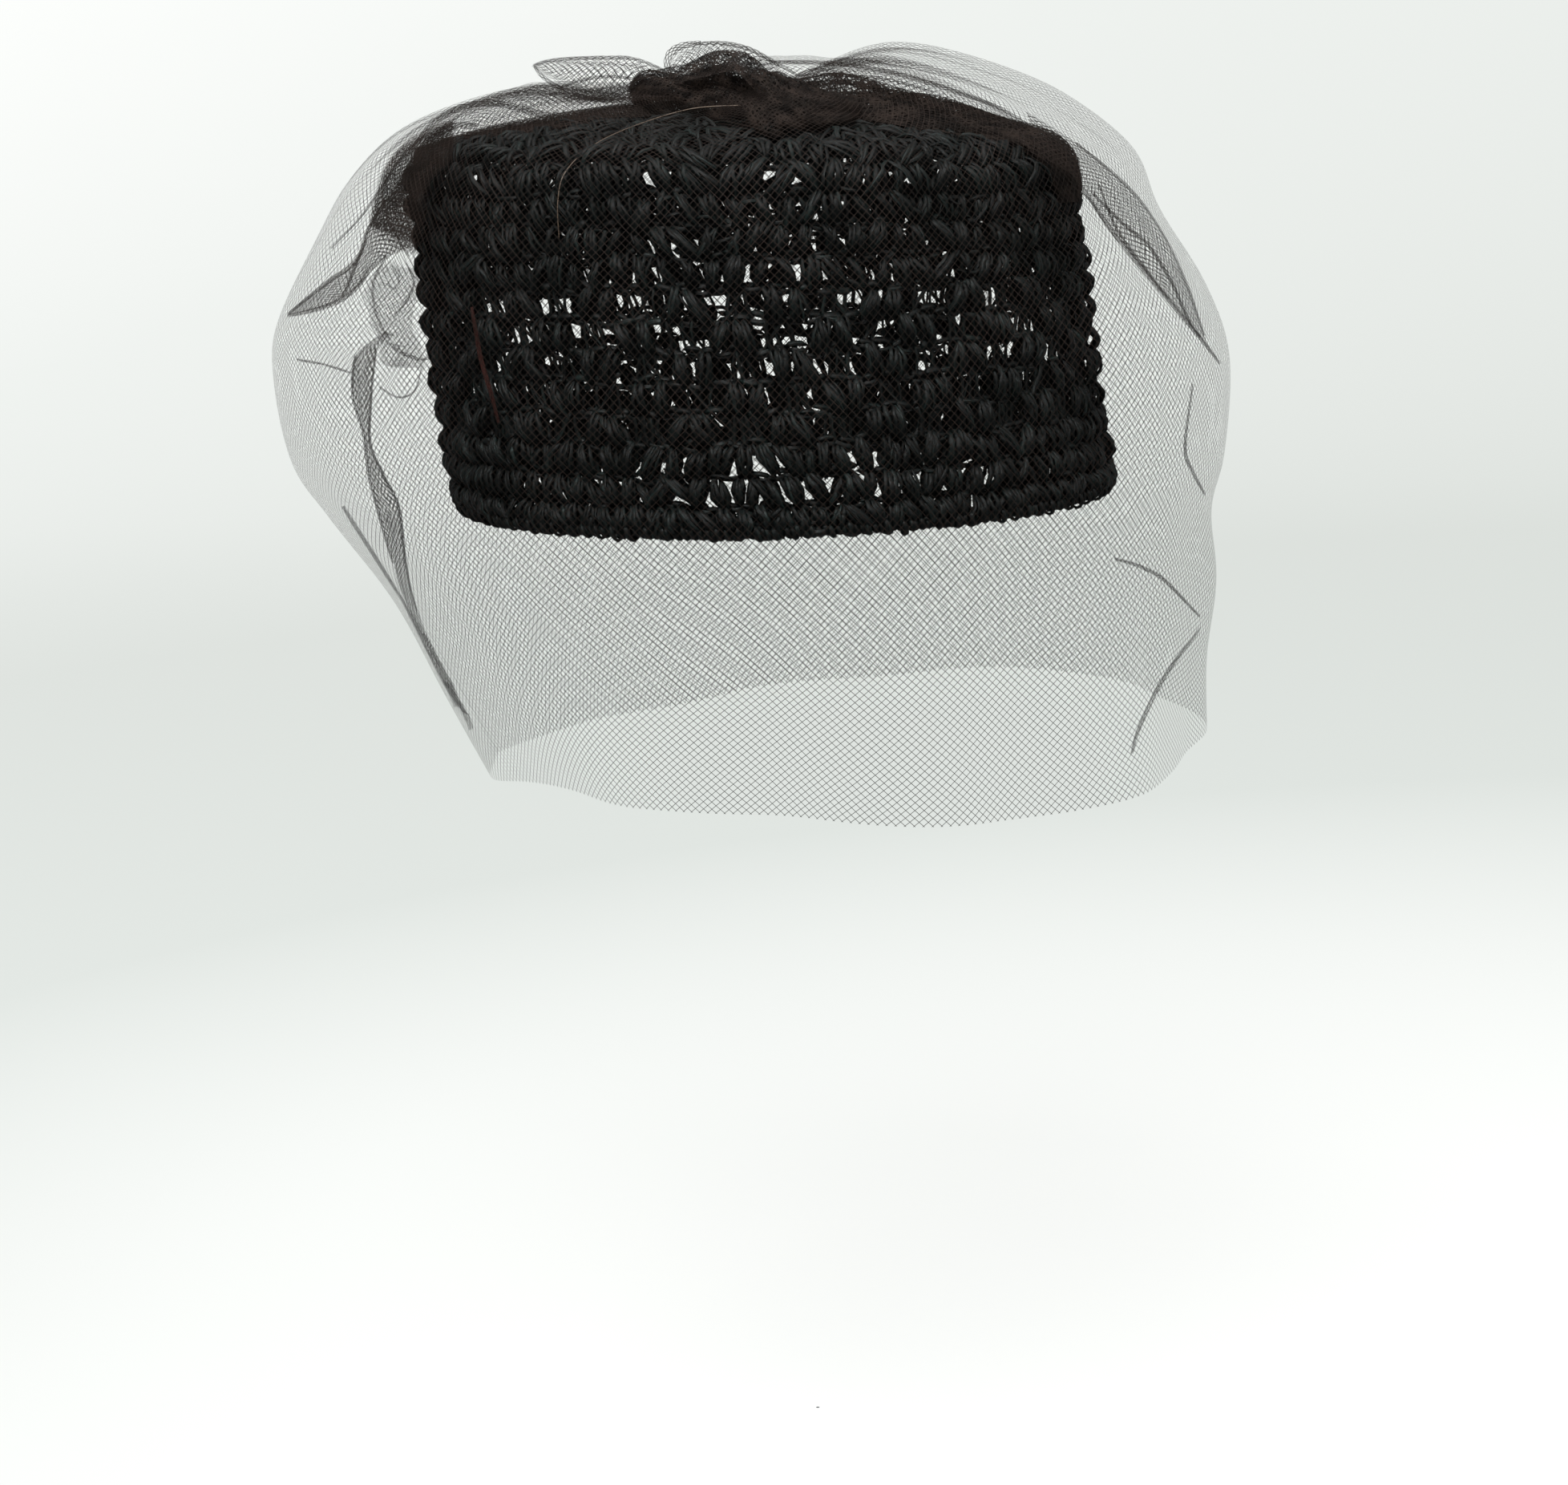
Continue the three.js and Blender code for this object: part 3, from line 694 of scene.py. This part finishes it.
def puffs(strands, middles, along, tall, width=PUFF_WIDTH, front=PUFF_STRANDS, proud=0.0, mess=1.0,
          back=BACK_STRANDS):
    """Plump bundles that are drawn in at both ends, at angles round one row."""
    steps = 8
    count = len(middles)
    t = np.linspace(0, 1, steps)[None, None, :]
    swell = np.sin(np.pi * t) ** 0.7
    tall = tall * DRAW.uniform(0.88, 1.12, (count, 1, 1))
    slant = DRAW.normal(0, 0.3 * mess, (count, 1, 1))
    plump = DRAW.uniform(0.78, 1.2, (count, 1, 1))
    shift = DRAW.normal(0, 0.4 * mess, (count, 1, 1))
    for number, base, depth, half in ((front, -2.4 + proud, 3.8, 0.86), (back, -1.9, -1.2, 1.2)):
        each = (count, number, 1)
        points = (count, number, steps)
        side = ((np.arange(number) + 0.5) / number * 2 - 1)[None, :, None] * 0.95
        side = side + DRAW.normal(0, 0.09, each)
        own_slant = slant + DRAW.normal(0, 0.16 * mess, each)
        x = side * (0.3 + 0.7 * swell) * width / 2 * plump + own_slant * (t - 0.5) * tall
        x = x + DRAW.normal(0, 0.2, points) * swell
        y = (t - 0.5) * tall + DRAW.normal(0, 0.3, each) + shift
        crown = np.sqrt(np.maximum(1 - 0.8 * side ** 2, 0.05))
        lift = base + depth * swell * crown * plump + DRAW.normal(0, 0.2, points) * swell
        paths = joined(x, y, lift).reshape(-1, steps, 3)
        facing = joined(side * 0.9 + DRAW.normal(0, 0.35, each), 0, 1).reshape(-1, 1, 3)
        wide = (half * (0.5 + 0.5 * swell) * DRAW.uniform(0.7, 1.25, each)).reshape(-1, steps)
        strands.add(paths, wide, 0.42, facing, along, np.repeat(middles, number))


def ladders(strands, middles, along, row_height, gap, rungs=3, half=0.56):
    """Thin twisted strands with open work between them."""
    steps = 7
    count = len(middles)
    t = np.linspace(0, 1, steps)[None, None, :]
    number = rungs + 1
    each = (count, number, 1)
    spread = (np.arange(rungs) + 0.5) / rungs * 2 - 1
    low = np.append(spread * 0.74, -0.7)[None, :, None] + DRAW.normal(0, 0.12, each)
    high = np.append(spread * 0.62, 0.45)[None, :, None] + DRAW.normal(0, 0.15, each)
    flip = DRAW.choice([-1, 1], (count, 1, 1))
    x = (low + (high - low) * t) * flip * gap / 2 * 0.88
    x = x + 0.22 * np.sin(t * TURN * 1.5 + DRAW.uniform(0, TURN, each))
    y = (t - 0.5) * row_height * 1.25
    lift = -1.7 + DRAW.normal(0, 0.35, each) + 0.25 * np.cos(t * TURN * 1.5)
    paths = joined(x, y, lift).reshape(-1, steps, 3)
    facing = joined(DRAW.uniform(-1, 1, (count * number, 1)), 0, 1)
    wide = half * DRAW.uniform(0.75, 1.3, (count * number, 1))
    strands.add(paths, wide, 0.4, facing, along, np.repeat(middles, number))


def chain(strands, along, lift=-2.1, pitch=CHAIN_PITCH):
    """A loose chain of leaf stitches round the crown, between two rows and behind them."""
    count = max(6, round(TURN * row_radius(along) / pitch))
    t = np.linspace(0, 1, 5)
    for way in (-1, 1):
        angles = spaced(count, 0.15)
        x = (t - 0.5)[None, :] * pitch * DRAW.uniform(1.2, 1.7, (count, 1))
        y = way * (0.1 + 0.7 * np.sin(np.pi * t) ** 0.8)[None, :] + DRAW.normal(0, 0.4, (count, 1))
        out = lift + 0.6 * np.sin(np.pi * t)[None, :] + DRAW.normal(0, 0.4, (count, 1))
        tilt = DRAW.normal(0, 1.1, (count, 1))
        paths = joined(x, y + tilt * (0.5 - t), out)
        facing = np.array([0, way * 0.5, 1.0])
        strands.add(paths, DRAW.uniform(0.6, 1.05, (count, 1)), 0.34, facing, along, angles)


def loose_strands(strands, along, spread, count, lift):
    """Strands that lie more or less round the crown, across the rows."""
    t = np.linspace(0, 1, 9)[None, :]
    each = (count, 1)
    x = (t - 0.5) * DRAW.uniform(5, 12, each)
    y = (DRAW.normal(0, spread, each) + DRAW.normal(0, 3.4, each) * (t - 0.5)
         + DRAW.uniform(-2.4, 2.4, each) * np.sin(np.pi * t))
    out = lift + DRAW.uniform(-0.8, 0.5, each) - 2.8 * (2 * t - 1) ** 2
    out = out - x ** 2 / row_radius(along) / 2
    facing = joined(0, DRAW.normal(0.2, 0.4, each), 1)
    wide = DRAW.uniform(0.4, 0.8, each)
    strands.add(joined(x, y, out), wide, 0.26, facing, along, DRAW.uniform(0, TURN, count))


def short_uprights(strands, along, row_height, pitch, lift):
    """A dense row of short upright strands."""
    steps = 6
    count = round(TURN * row_radius(along) / pitch)
    each = (count, 1)
    angles = spaced(count, 0.15)
    t = np.linspace(0, 1, steps)[None, :]
    slant = DRAW.normal(0.1, 0.28, each)
    x = slant * (t - 0.5) * row_height + DRAW.normal(0, 0.12, (count, steps))
    y = (t - 0.5) * row_height * DRAW.uniform(0.95, 1.2, each)
    out = lift + 0.9 * np.sin(np.pi * t) + DRAW.normal(0, 0.22, each) - 0.5
    facing = joined(DRAW.normal(0, 0.45, each), 0, 1)
    strands.add(joined(x, y, out), 0.75 * DRAW.uniform(0.7, 1.2, each), 0.28, facing, along, angles)


def openwork_row(pairs, rungs, row, along, row_height, shift):
    """One row of pairs of puffs with a ladder between one pair and the next."""
    radius = row_radius(along)
    gap = TURN * radius / REPEATS - 2 * PUFF_SPACING
    middles = (np.arange(REPEATS) + shift) / REPEATS * TURN
    wander = DRAW.normal(0, 0.55, REPEATS) / radius
    half = PUFF_SPACING / 2 / radius
    both = np.concatenate([middles + wander - half, middles + wander + half])
    tall = row_height * PUFF_REACH
    puffs(pairs, both, along, tall, mess=1 + 0.12 * max(0, row - 4))
    ladder_middles = middles + math.pi / REPEATS
    if row in SMALL_PUFFS:
        number = SMALL_PUFFS[row]
        ways = (np.arange(number) - (number - 1) / 2) * (0.48 if number == 2 else 0.9 / number)
        small = np.concatenate([ladder_middles + way * gap / radius for way in ways])
        small = small + DRAW.normal(0, 0.5, len(small)) / radius
        puffs(rungs, small, along, tall, gap * 0.2, 4, -0.8, 1.3)
    elif row == THICK_ROW:
        ladders(rungs, ladder_middles, along, row_height, gap, 5, 0.8)
        ladders(rungs, ladder_middles, along, row_height, gap * 1.2, 1, 0.9)
    else:
        ladders(rungs, ladder_middles, along, row_height, gap)


def side_band(material):
    """Rows of puffs and ladders up the side, with a chain between one row and the next."""
    pairs, upper_pairs, rungs = Strands(), Strands(), Strands()
    pitch = (BAND_TOP - RIM_ROW_HEIGHT) / SIDE_ROWS
    for row in range(SIDE_ROWS):
        along = CROWN_LENGTH - RIM_ROW_HEIGHT - (row + 0.5) * pitch
        shift = 0.5 * (row % 2) + 0.06 * math.sin(row * 2.3)
        target = pairs if row < SIDE_ROWS / 2 else upper_pairs
        openwork_row(target, rungs, row, along, pitch, shift)
        chain(rungs, along + pitch / 2)
    chain(rungs, CROWN_LENGTH - BAND_TOP)
    short_uprights(upper_pairs, CROWN_LENGTH - BAND_TOP + pitch / 2, pitch, 3.6, -1.6)
    loose_strands(upper_pairs, CROWN_LENGTH - BAND_TOP + pitch, pitch, 46, 0.5)
    return [
        pairs.make("lower_puffs", material),
        upper_pairs.make("upper_puffs", material),
        rungs.make("ladders_and_chains", material),
    ]


def rim_edge(material):
    """The dense last row, with a scalloped edge of loops that turn under it."""
    strands = Strands()
    middle = CROWN_LENGTH - RIM_ROW_HEIGHT / 2
    count = round(TURN * CROWN_RADIUS / RIM_PITCH)
    middles = np.arange(count) / count * TURN
    puffs(strands, middles, middle - 0.7, RIM_ROW_HEIGHT * 0.96, 4.8, 5)
    short_uprights(strands, middle - 0.8, RIM_ROW_HEIGHT * 0.86, 2.2, -2.2)
    chain(strands, CROWN_LENGTH - 1.7, -1.4, 3.6)
    chain(strands, CROWN_LENGTH - 3.2, -2, 3.6)
    loose_strands(strands, middle - 1, 1.2, 60, 0.3)
    t = np.linspace(0, 1, 9)[None, :]
    for side in (-0.32, 0, 0.32):
        angles = spaced(count, 0.06, 0.5 + side)
        turn = (t - 0.5) * 1.5 * np.pi
        size = DRAW.uniform(1.2, 1.7, (count, 1)) * (1.15 if side == 0 else 0.85)
        x = 0.9 * (t - 0.5) + DRAW.normal(0, 0.15, (count, 1))
        y = -np.cos(turn) * size * 1.3 + DRAW.normal(0, 0.15, (count, 1))
        out = -WALL / 2 - np.sin(turn) * size * 1.1
        facing = joined(0, -np.cos(turn) - 0.3, -np.sin(turn))
        wide = DRAW.uniform(0.75, 1.1, (count, 1))
        strands.add(joined(x, y, out), wide, 0.4, facing, CROWN_LENGTH - 1.9, angles)
    return strands.make("rim_stitches", material)


def tip(material):
    """Dense rows over the shoulder and round the dome, down to its middle."""
    strands = Strands()
    pitch = TIP_LENGTH / (TIP_ROWS + 0.5)
    for row in range(TIP_ROWS):
        along = TIP_LENGTH - (row + 0.5) * pitch
        radius = row_radius(along)
        middles = spaced(max(5, round(TURN * radius / TIP_PUFF_SPACING)), 0.14, 0.5 * (row % 2))
        puffs(strands, middles, along, pitch * 1.35, 5, 4, mess=1.6 + 0.25 * min(row, 5), back=1)
        if radius > 12:
            chain(strands, along - pitch / 2, -2.2, 6)
        if row < 8:
            loose_strands(strands, along, pitch, 24 if row < 3 else 14, 0.5)
    return strands.make("tip_puffs", material)


# Net pieces

def straighten(share, angle):
    """Turns the angles of each row of the veil so that its columns cross the rows squarely."""
    small = 1e-3
    for way in (-1, 1):
        row = WIDEST_ROW
        while 0 <= row + way < VEIL_ROWS:
            here = veil_form(share[row], angle[row])
            tangent = (veil_form(share[row], angle[row] + small) - here) / small
            step = veil_form(share[row + way], angle[row]) - here
            angle[row + way] = angle[row] - (step * tangent).sum(axis=1) / (tangent ** 2).sum(axis=1)
            row += way


def veil(material):
    """One sheet of net: its top edge is drawn up in the knot, and its hem hangs below the rim."""
    share = np.linspace(0, 1, VEIL_ROWS)
    angle = np.arange(VEIL_COLUMNS) / VEIL_COLUMNS * TURN
    at, round_ = np.meshgrid(share, angle, indexing="ij")
    straighten(at, round_)
    smooth = veil_form(at, round_)
    rings = np.arange(len(VEIL_PLEATS)) / (len(VEIL_PLEATS) - 1)
    steps = np.linalg.norm(np.diff(smooth, axis=0), axis=2).mean(axis=1)
    long = np.concatenate([[0], np.cumsum(steps)])
    length = long[:, None]
    ripple = np.interp(at, rings, VEIL_PLEATS) * np.cos(PLEAT_COUNT * round_)
    drawn = 1.2 * np.exp(-length / 55) * np.minimum(length / 20, 1)
    fine = drawn * waves(FINE_WAVES, round_, length, 40)
    soft = 0.8 * np.minimum(length / 70, 1) * waves(SOFT_WAVES, round_, length, 60)
    points = smooth + grid_normals(smooth) * (ripple + fine + soft)[..., None]
    widest = smooth[WIDEST_ROW]
    steps = np.linalg.norm(np.roll(widest, -1, axis=0) - widest, axis=1)
    wide = np.concatenate([[0], np.cumsum(steps)]) / steps.sum() * VEIL_WIDTH
    piece = make_sheet("veil_net", points, wide, long, material, closed=True)
    return piece


def serpentine(layers, samples):
    """Cloth folded back and forth: each column's place across (-1 to 1), share of the height, and layer."""
    q = np.linspace(0, layers, layers * samples + 1)
    return -np.cos(np.pi * q), q / layers, q


def folded_grid(place, layers, samples, rows):
    """Points of net folded back and forth. place(t, x, h, wave) sets them along, across and through it."""
    x, h, q = serpentine(layers, samples)
    t = np.linspace(0, 1, rows)[:, None]
    return place(t, x + 0 * t, h + 0 * t, crumple(q, t, 5, 22))


def gather(name, table, middle_angle, layers, material):
    """Bunched net that lies over the crown and runs out from the knot."""
    share = np.linspace(0, 1, len(table))

    def place(t, x, h, wave):
        along = np.interp(t, share, table[:, 0])
        half = np.interp(t, share, table[:, 1])
        thick = np.interp(t, share, table[:, 2])
        radius = line_point(along)[0]
        profile = np.sqrt(np.maximum(1 - x ** 2, 0)) ** 0.8
        ragged = 1 + 0.09 * np.sin(11 * t + 5 * h) + 0.07 * np.sin(23 * t - 7 * h)
        pleats = (1.1 * np.sin(9 * x + 3 * t + 2 * h) + 0.6 * np.sin(21 * x - 5 * t + h)) * profile
        lift = 0.9 + profile * thick * (0.12 + 0.88 * h) + (0.8 * wave + pleats) * np.minimum(thick / 7, 1)
        return crown_place(along + 0 * x, middle_angle + x * half * ragged / radius, np.maximum(lift, 0.5))

    grid = folded_grid(place, layers, GATHER_SAMPLES, GATHER_ROWS)
    return net_piece(name, grid, material)


def veil_fold(table, layers, thick=2.0, loose=0.35, toward=None, side=1,
              rows=FOLD_ROWS, samples=FOLD_SAMPLES):
    """A fold between two edges, against the inside of the veil or at a given way to the front right."""
    def place(t, x, h, wave):
        row = spline(table, t)
        mix = (x + 1) / 2
        along = row[..., 0] + (row[..., 2] - row[..., 0]) * mix
        height = row[..., 1] + (row[..., 3] - row[..., 1]) * mix + 0.3 * loose * wave
        inset = 1 + thick * h + loose * wave
        depth = veil_depth(along, height, inset, side) if toward is None else toward - 3 * inset
        return section_point(along, depth, height)

    return folded_grid(place, layers, samples, rows)


def creases(name, table, material, side=1, toward=None, layers=3):
    """Narrow folds along paths on the veil, as one piece of net."""
    points, faces, uv, count, area, longest = [], [], [], 0, 0, 0
    for half, path in table:
        path = np.array(path, float)
        way = unit(np.gradient(path, axis=0))
        across = np.stack([-way[:, 1], way[:, 0]], axis=1) * half
        taper = np.sin(np.linspace(0.12, 0.88, len(path)) * np.pi)[:, None] ** 0.5
        edges = np.concatenate([path + across * taper, path - across * taper], axis=1)
        grid = veil_fold(edges, layers, 0.8, 0.12, toward, side, CREASE_ROWS, CREASE_SAMPLES)
        wide, long = cloth_lengths(grid, 1), cloth_lengths(grid, 0)
        grid_faces, grid_uv = grid_mesh(grid, wide * CREASE_GATHER, long)
        points.append(grid.reshape(-1, 3))
        faces.append(grid_faces + count)
        uv.append(grid_uv)
        count += len(points[-1])
        area += wide[-1] * long[-1]
        longest = max(longest, long[-1])
    piece = make_mesh(name, np.concatenate(points), faces, np.concatenate(uv), material)


def rolled_net(name, table, turns, uneven, material, inner, rows=60, on_dome=False):
    """Net that is rolled up round its own length, with uneven folds. The table gives its outline."""
    q = np.linspace(0, turns, int(turns * ROLL_SAMPLES) + 1)
    t = np.linspace(0, 1, rows)[:, None]
    along, top, bottom, near, far = np.moveaxis(spline(table, t), -1, 0)
    angle = TURN * (q + 0.12)
    folds = crumple(angle, t, 7, 16) + 0.6 * crumple(angle, t, 16, 34)
    size = (1 - (1 - inner) * q / turns) * (1 + uneven * np.minimum(folds, 1.2))
    toward = (near + far) / 2 + (near - far) / 2 * np.cos(angle) * size
    height = (top + bottom) / 2 + (top - bottom) / 2 * np.sin(angle) * size
    along = along + 8 * uneven * crumple(angle, t, 3, 9)
    if on_dome:
        height = np.maximum(height, dome_height(along, toward) + 0.9 + 0.5 * q)
    return net_piece(name, section_point(along, toward, height), material)


def stray_thread(material):
    """A loose thread that curves over the shoulder toward the knot."""
    steps, sides, radius = 60, 6, 0.1
    path = spline(STRAY_THREAD, np.linspace(0, 1, steps))
    path = section_point(path[:, 0], path[:, 1], path[:, 2])
    way = unit(np.gradient(path, axis=0))
    side = unit(np.cross(way, FRONT_RIGHT))
    out = np.cross(side, way)
    turn = np.arange(sides) / sides * TURN
    ring = side[:, None] * np.cos(turn)[:, None] + out[:, None] * np.sin(turn)[:, None]
    points = path[:, None] + radius * ring
    faces, places = grid_mesh(points, np.arange(sides + 1) / sides, np.arange(steps) / 2, closed=True)
    ends = np.array([np.arange(sides), np.arange(sides)[::-1] + (steps - 1) * sides])
    uv = np.concatenate([places, np.zeros((2 * sides, 2))])
    piece = make_mesh("stray_thread", points.reshape(-1, 3), [faces, ends], uv, material)
    return piece


def main():
    raffia = raffia_material()
    net = net_material("net_brown", THREAD)
    doubled = net_material("net_doubled", THREAD, (0, 0.4))
    # The bunched net carries painted shade: a darker brown and wide dark patches
    bunched = net_material("net_bunched_painted_shade", BUNCHED_THREAD, (0, 0.5), BUNCHED_BROWN_AND_PAINTED_SHADE, uneven=True)
    reddish = net_material("net_reddish", BUNCHED_THREAD, tones=REDDISH_BROWN)
    for piece in side_band(raffia):
        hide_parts("side_band")
    piece = rim_edge(raffia)
    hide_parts("rim_edge")
    piece = tip(raffia)
    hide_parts("tip")
    piece = veil(net)
    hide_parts("veil")
    front_gather = gather("front_gather_net", FRONT_GATHER, FRONT_LEFT_ANGLE - 0.3, 5, bunched)
    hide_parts("gather_front")
    back_gather = gather("back_gather_net", BACK_GATHER, FRONT_LEFT_ANGLE + math.pi + 0.22, 5, doubled)
    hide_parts("gather_back")
    knot = rolled_net("knot_net", KNOT, 3.4, 0.12, bunched, inner=0.55, rows=90, on_dome=True)
    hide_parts("veil_knot")
    loop_back = rolled_net("loop_back_net", LOOP_BACK, 1.6, 0.07, net, inner=0.6)
    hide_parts("net_loop_back")
    loop_top = rolled_net("loop_top_net", LOOP_TOP, 1.6, 0.07, net, inner=0.6)
    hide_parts("net_loop_top")
    rolled_net("front_puff_net", FRONT_PUFF, 1.15, 0.05, net, inner=0.8, on_dome=True)
    rolled_net("back_puff_net", BACK_PUFF, 1.7, 0.07, net, inner=0.75, on_dome=True)
    for name, grid, cloth, drawn in (
            ("front_tuck_net", veil_fold(FRONT_TUCK, 3), net, 1),
            ("back_tuck_net", veil_fold(BACK_TUCK, 4), net, 1.6),
            ("corner_net", veil_fold(CORNER_NET, 5, thick=5, loose=1.4, toward=50), doubled, 2.6),
            ("crumpled_net", veil_fold(CRUMPLED_NET, 2, loose=2.4, toward=24), net, 1.5),
            ("twisted_band_net", veil_fold(TWISTED_BAND, 4, rows=80), net, 1.3)):
        net_piece(name, grid, cloth, drawn)
    creases("veil_creases", CREASES, net, layers=5)
    creases("far_creases", CREASES_BEHIND, net, side=-1)
    creases("crease_over_hat", CREASE_OVER_HAT, reddish, layers=13)
    creases("inner_creases", CREASES_INSIDE, net, toward=6, layers=4)
    stray_thread(thread_material())


# Stage

CAMERA = {
    "distance": 891.4, "height": 118.0, "shift_right": -2.93, "pitch": 11.8, "roll": -2.02, "lens": 77.3}
FLOOR = -260
FLOOR_REACH = 1800
FLOOR_BEND = 900
WALL_TOP = 1700
# Name, azimuth, elevation, distance, size and power of each light
LIGHTS = [
    ("key", 112, 56, 1400, 700, 36),
    ("side", 20, 40, 1600, 800, 12),
    ("top", 100, 88, 1500, 1200, 14),
]
LIGHT_TARGET = np.array([0, 0, 20])


def camera():
    right = Vector(FRONT_LEFT)
    back = Vector(FRONT_RIGHT)
    pitch, roll = math.radians(CAMERA["pitch"]), math.radians(CAMERA["roll"])
    ahead = -back * math.cos(pitch) - Vector(UP) * math.sin(pitch)
    upward = right.cross(ahead)
    turned_right = right * math.cos(roll) + upward * math.sin(roll)
    turned_up = upward * math.cos(roll) - right * math.sin(roll)
    place = back * CAMERA["distance"] + right * CAMERA["shift_right"] + Vector(UP) * CAMERA["height"]
    data = bpy.data.cameras.new("camera")
    data.lens = CAMERA["lens"]
    data.sensor_width = 36
    data.sensor_fit = "HORIZONTAL"
    data.clip_end = 50
    seen = bpy.data.objects.new("camera", data)
    axes = Matrix((turned_right, turned_up, -ahead)).transposed()
    seen.matrix_world = Matrix.Translation(place * MM) @ axes.to_4x4()
    bpy.context.scene.collection.objects.link(seen)
    bpy.context.scene.camera = seen


def backdrop():
    """A round pale floor that sweeps up into a wall. It glows with painted light, darker in a ring round
    the middle and toward the front left.
    """
    profile = [(0.5, 0), (300, 0), (700, 0), (1200, 0), (FLOOR_REACH, 0)]
    steps, sides = 12, 96
    for step in range(1, steps + 1):
        turn = math.pi / 2 * step / steps
        profile.append((FLOOR_REACH + FLOOR_BEND * math.sin(turn), FLOOR_BEND * (1 - math.cos(turn))))
    profile.append((FLOOR_REACH + FLOOR_BEND, WALL_TOP))
    around = np.arange(sides) / sides * TURN
    radius, height = np.array(profile).T[..., None]
    points = joined(radius * np.cos(around), radius * np.sin(around), height + FLOOR)
    look = Look("backdrop_painted_light")
    # Painted light: the glow darkens in a ring about 0.75 m out and toward the front left, and lightens up
    # the wall
    spot = look.add("NewGeometry", {})["Position"]
    distance = look.add("VectorMath", {0: spot}, operation="LENGTH")["Value"]
    side = look.add("VectorMath", {0: spot, 1: FRONT_LEFT}, operation="DOT_PRODUCT")["Value"]
    painted_light_spot = look.math("SUBTRACT", look.math("DIVIDE", distance, 3), look.math("MULTIPLY", side, 0.13))
    material = look.finish({
        "Emission Color": look.ramp(painted_light_spot, BACKDROP_PAINTED_LIGHT_TONES), "Emission Strength": 1,
        "Base Color": (0.12, 0.12, 0.12, 1), "Roughness": 0.95, "Specular IOR Level": 0,
    })
    mesh = bpy.data.meshes.new("backdrop")
    row, column = np.meshgrid(np.arange(len(profile) - 1), np.arange(sides), indexing="ij")
    faces = np.stack([row * sides + column, row * sides + (column + 1) % sides,
                      (row + 1) * sides + (column + 1) % sides, (row + 1) * sides + column], axis=-1)
    mesh.from_pydata((points.reshape(-1, 3) * MM).tolist(), [], faces.reshape(-1, 4).tolist())
    mesh.shade_smooth()
    mesh.materials.append(material)
    floor = bpy.data.objects.new("backdrop", mesh)
    bpy.context.scene.collection.objects.link(floor)
    floor.visible_glossy = False


def light(name, azimuth, elevation, distance, size, power):
    """A soft square light, at an angle from the front left turned toward the viewer."""
    data = bpy.data.lights.new(name, "AREA")
    data.energy = power
    data.size = size * MM
    turn, rise = math.radians(azimuth), math.radians(elevation)
    level = FRONT_LEFT * math.cos(turn) + FRONT_RIGHT * math.sin(turn)
    way = level * math.cos(rise) + UP * math.sin(rise)
    lamp = bpy.data.objects.new(name, data)
    lamp.location = Vector(way * distance + LIGHT_TARGET) * MM
    lamp.rotation_euler = Vector(way).to_track_quat("Z", "Y").to_euler()
    bpy.context.scene.collection.objects.link(lamp)


def stage():
    camera()
    backdrop()
    for row in LIGHTS:
        light(*row)
    world = bpy.data.worlds.new("room")
    world.use_nodes = True
    sky = world.node_tree.nodes["Background"]
    sky.inputs["Color"].default_value = (0.95, 0.975, 1, 1)
    sky.inputs["Strength"].default_value = 0.25
    scene = bpy.context.scene
    scene.world = world
    scene.view_settings.view_transform = "Standard"
    scene.cycles.transparent_max_bounces = 32


stage()
main()
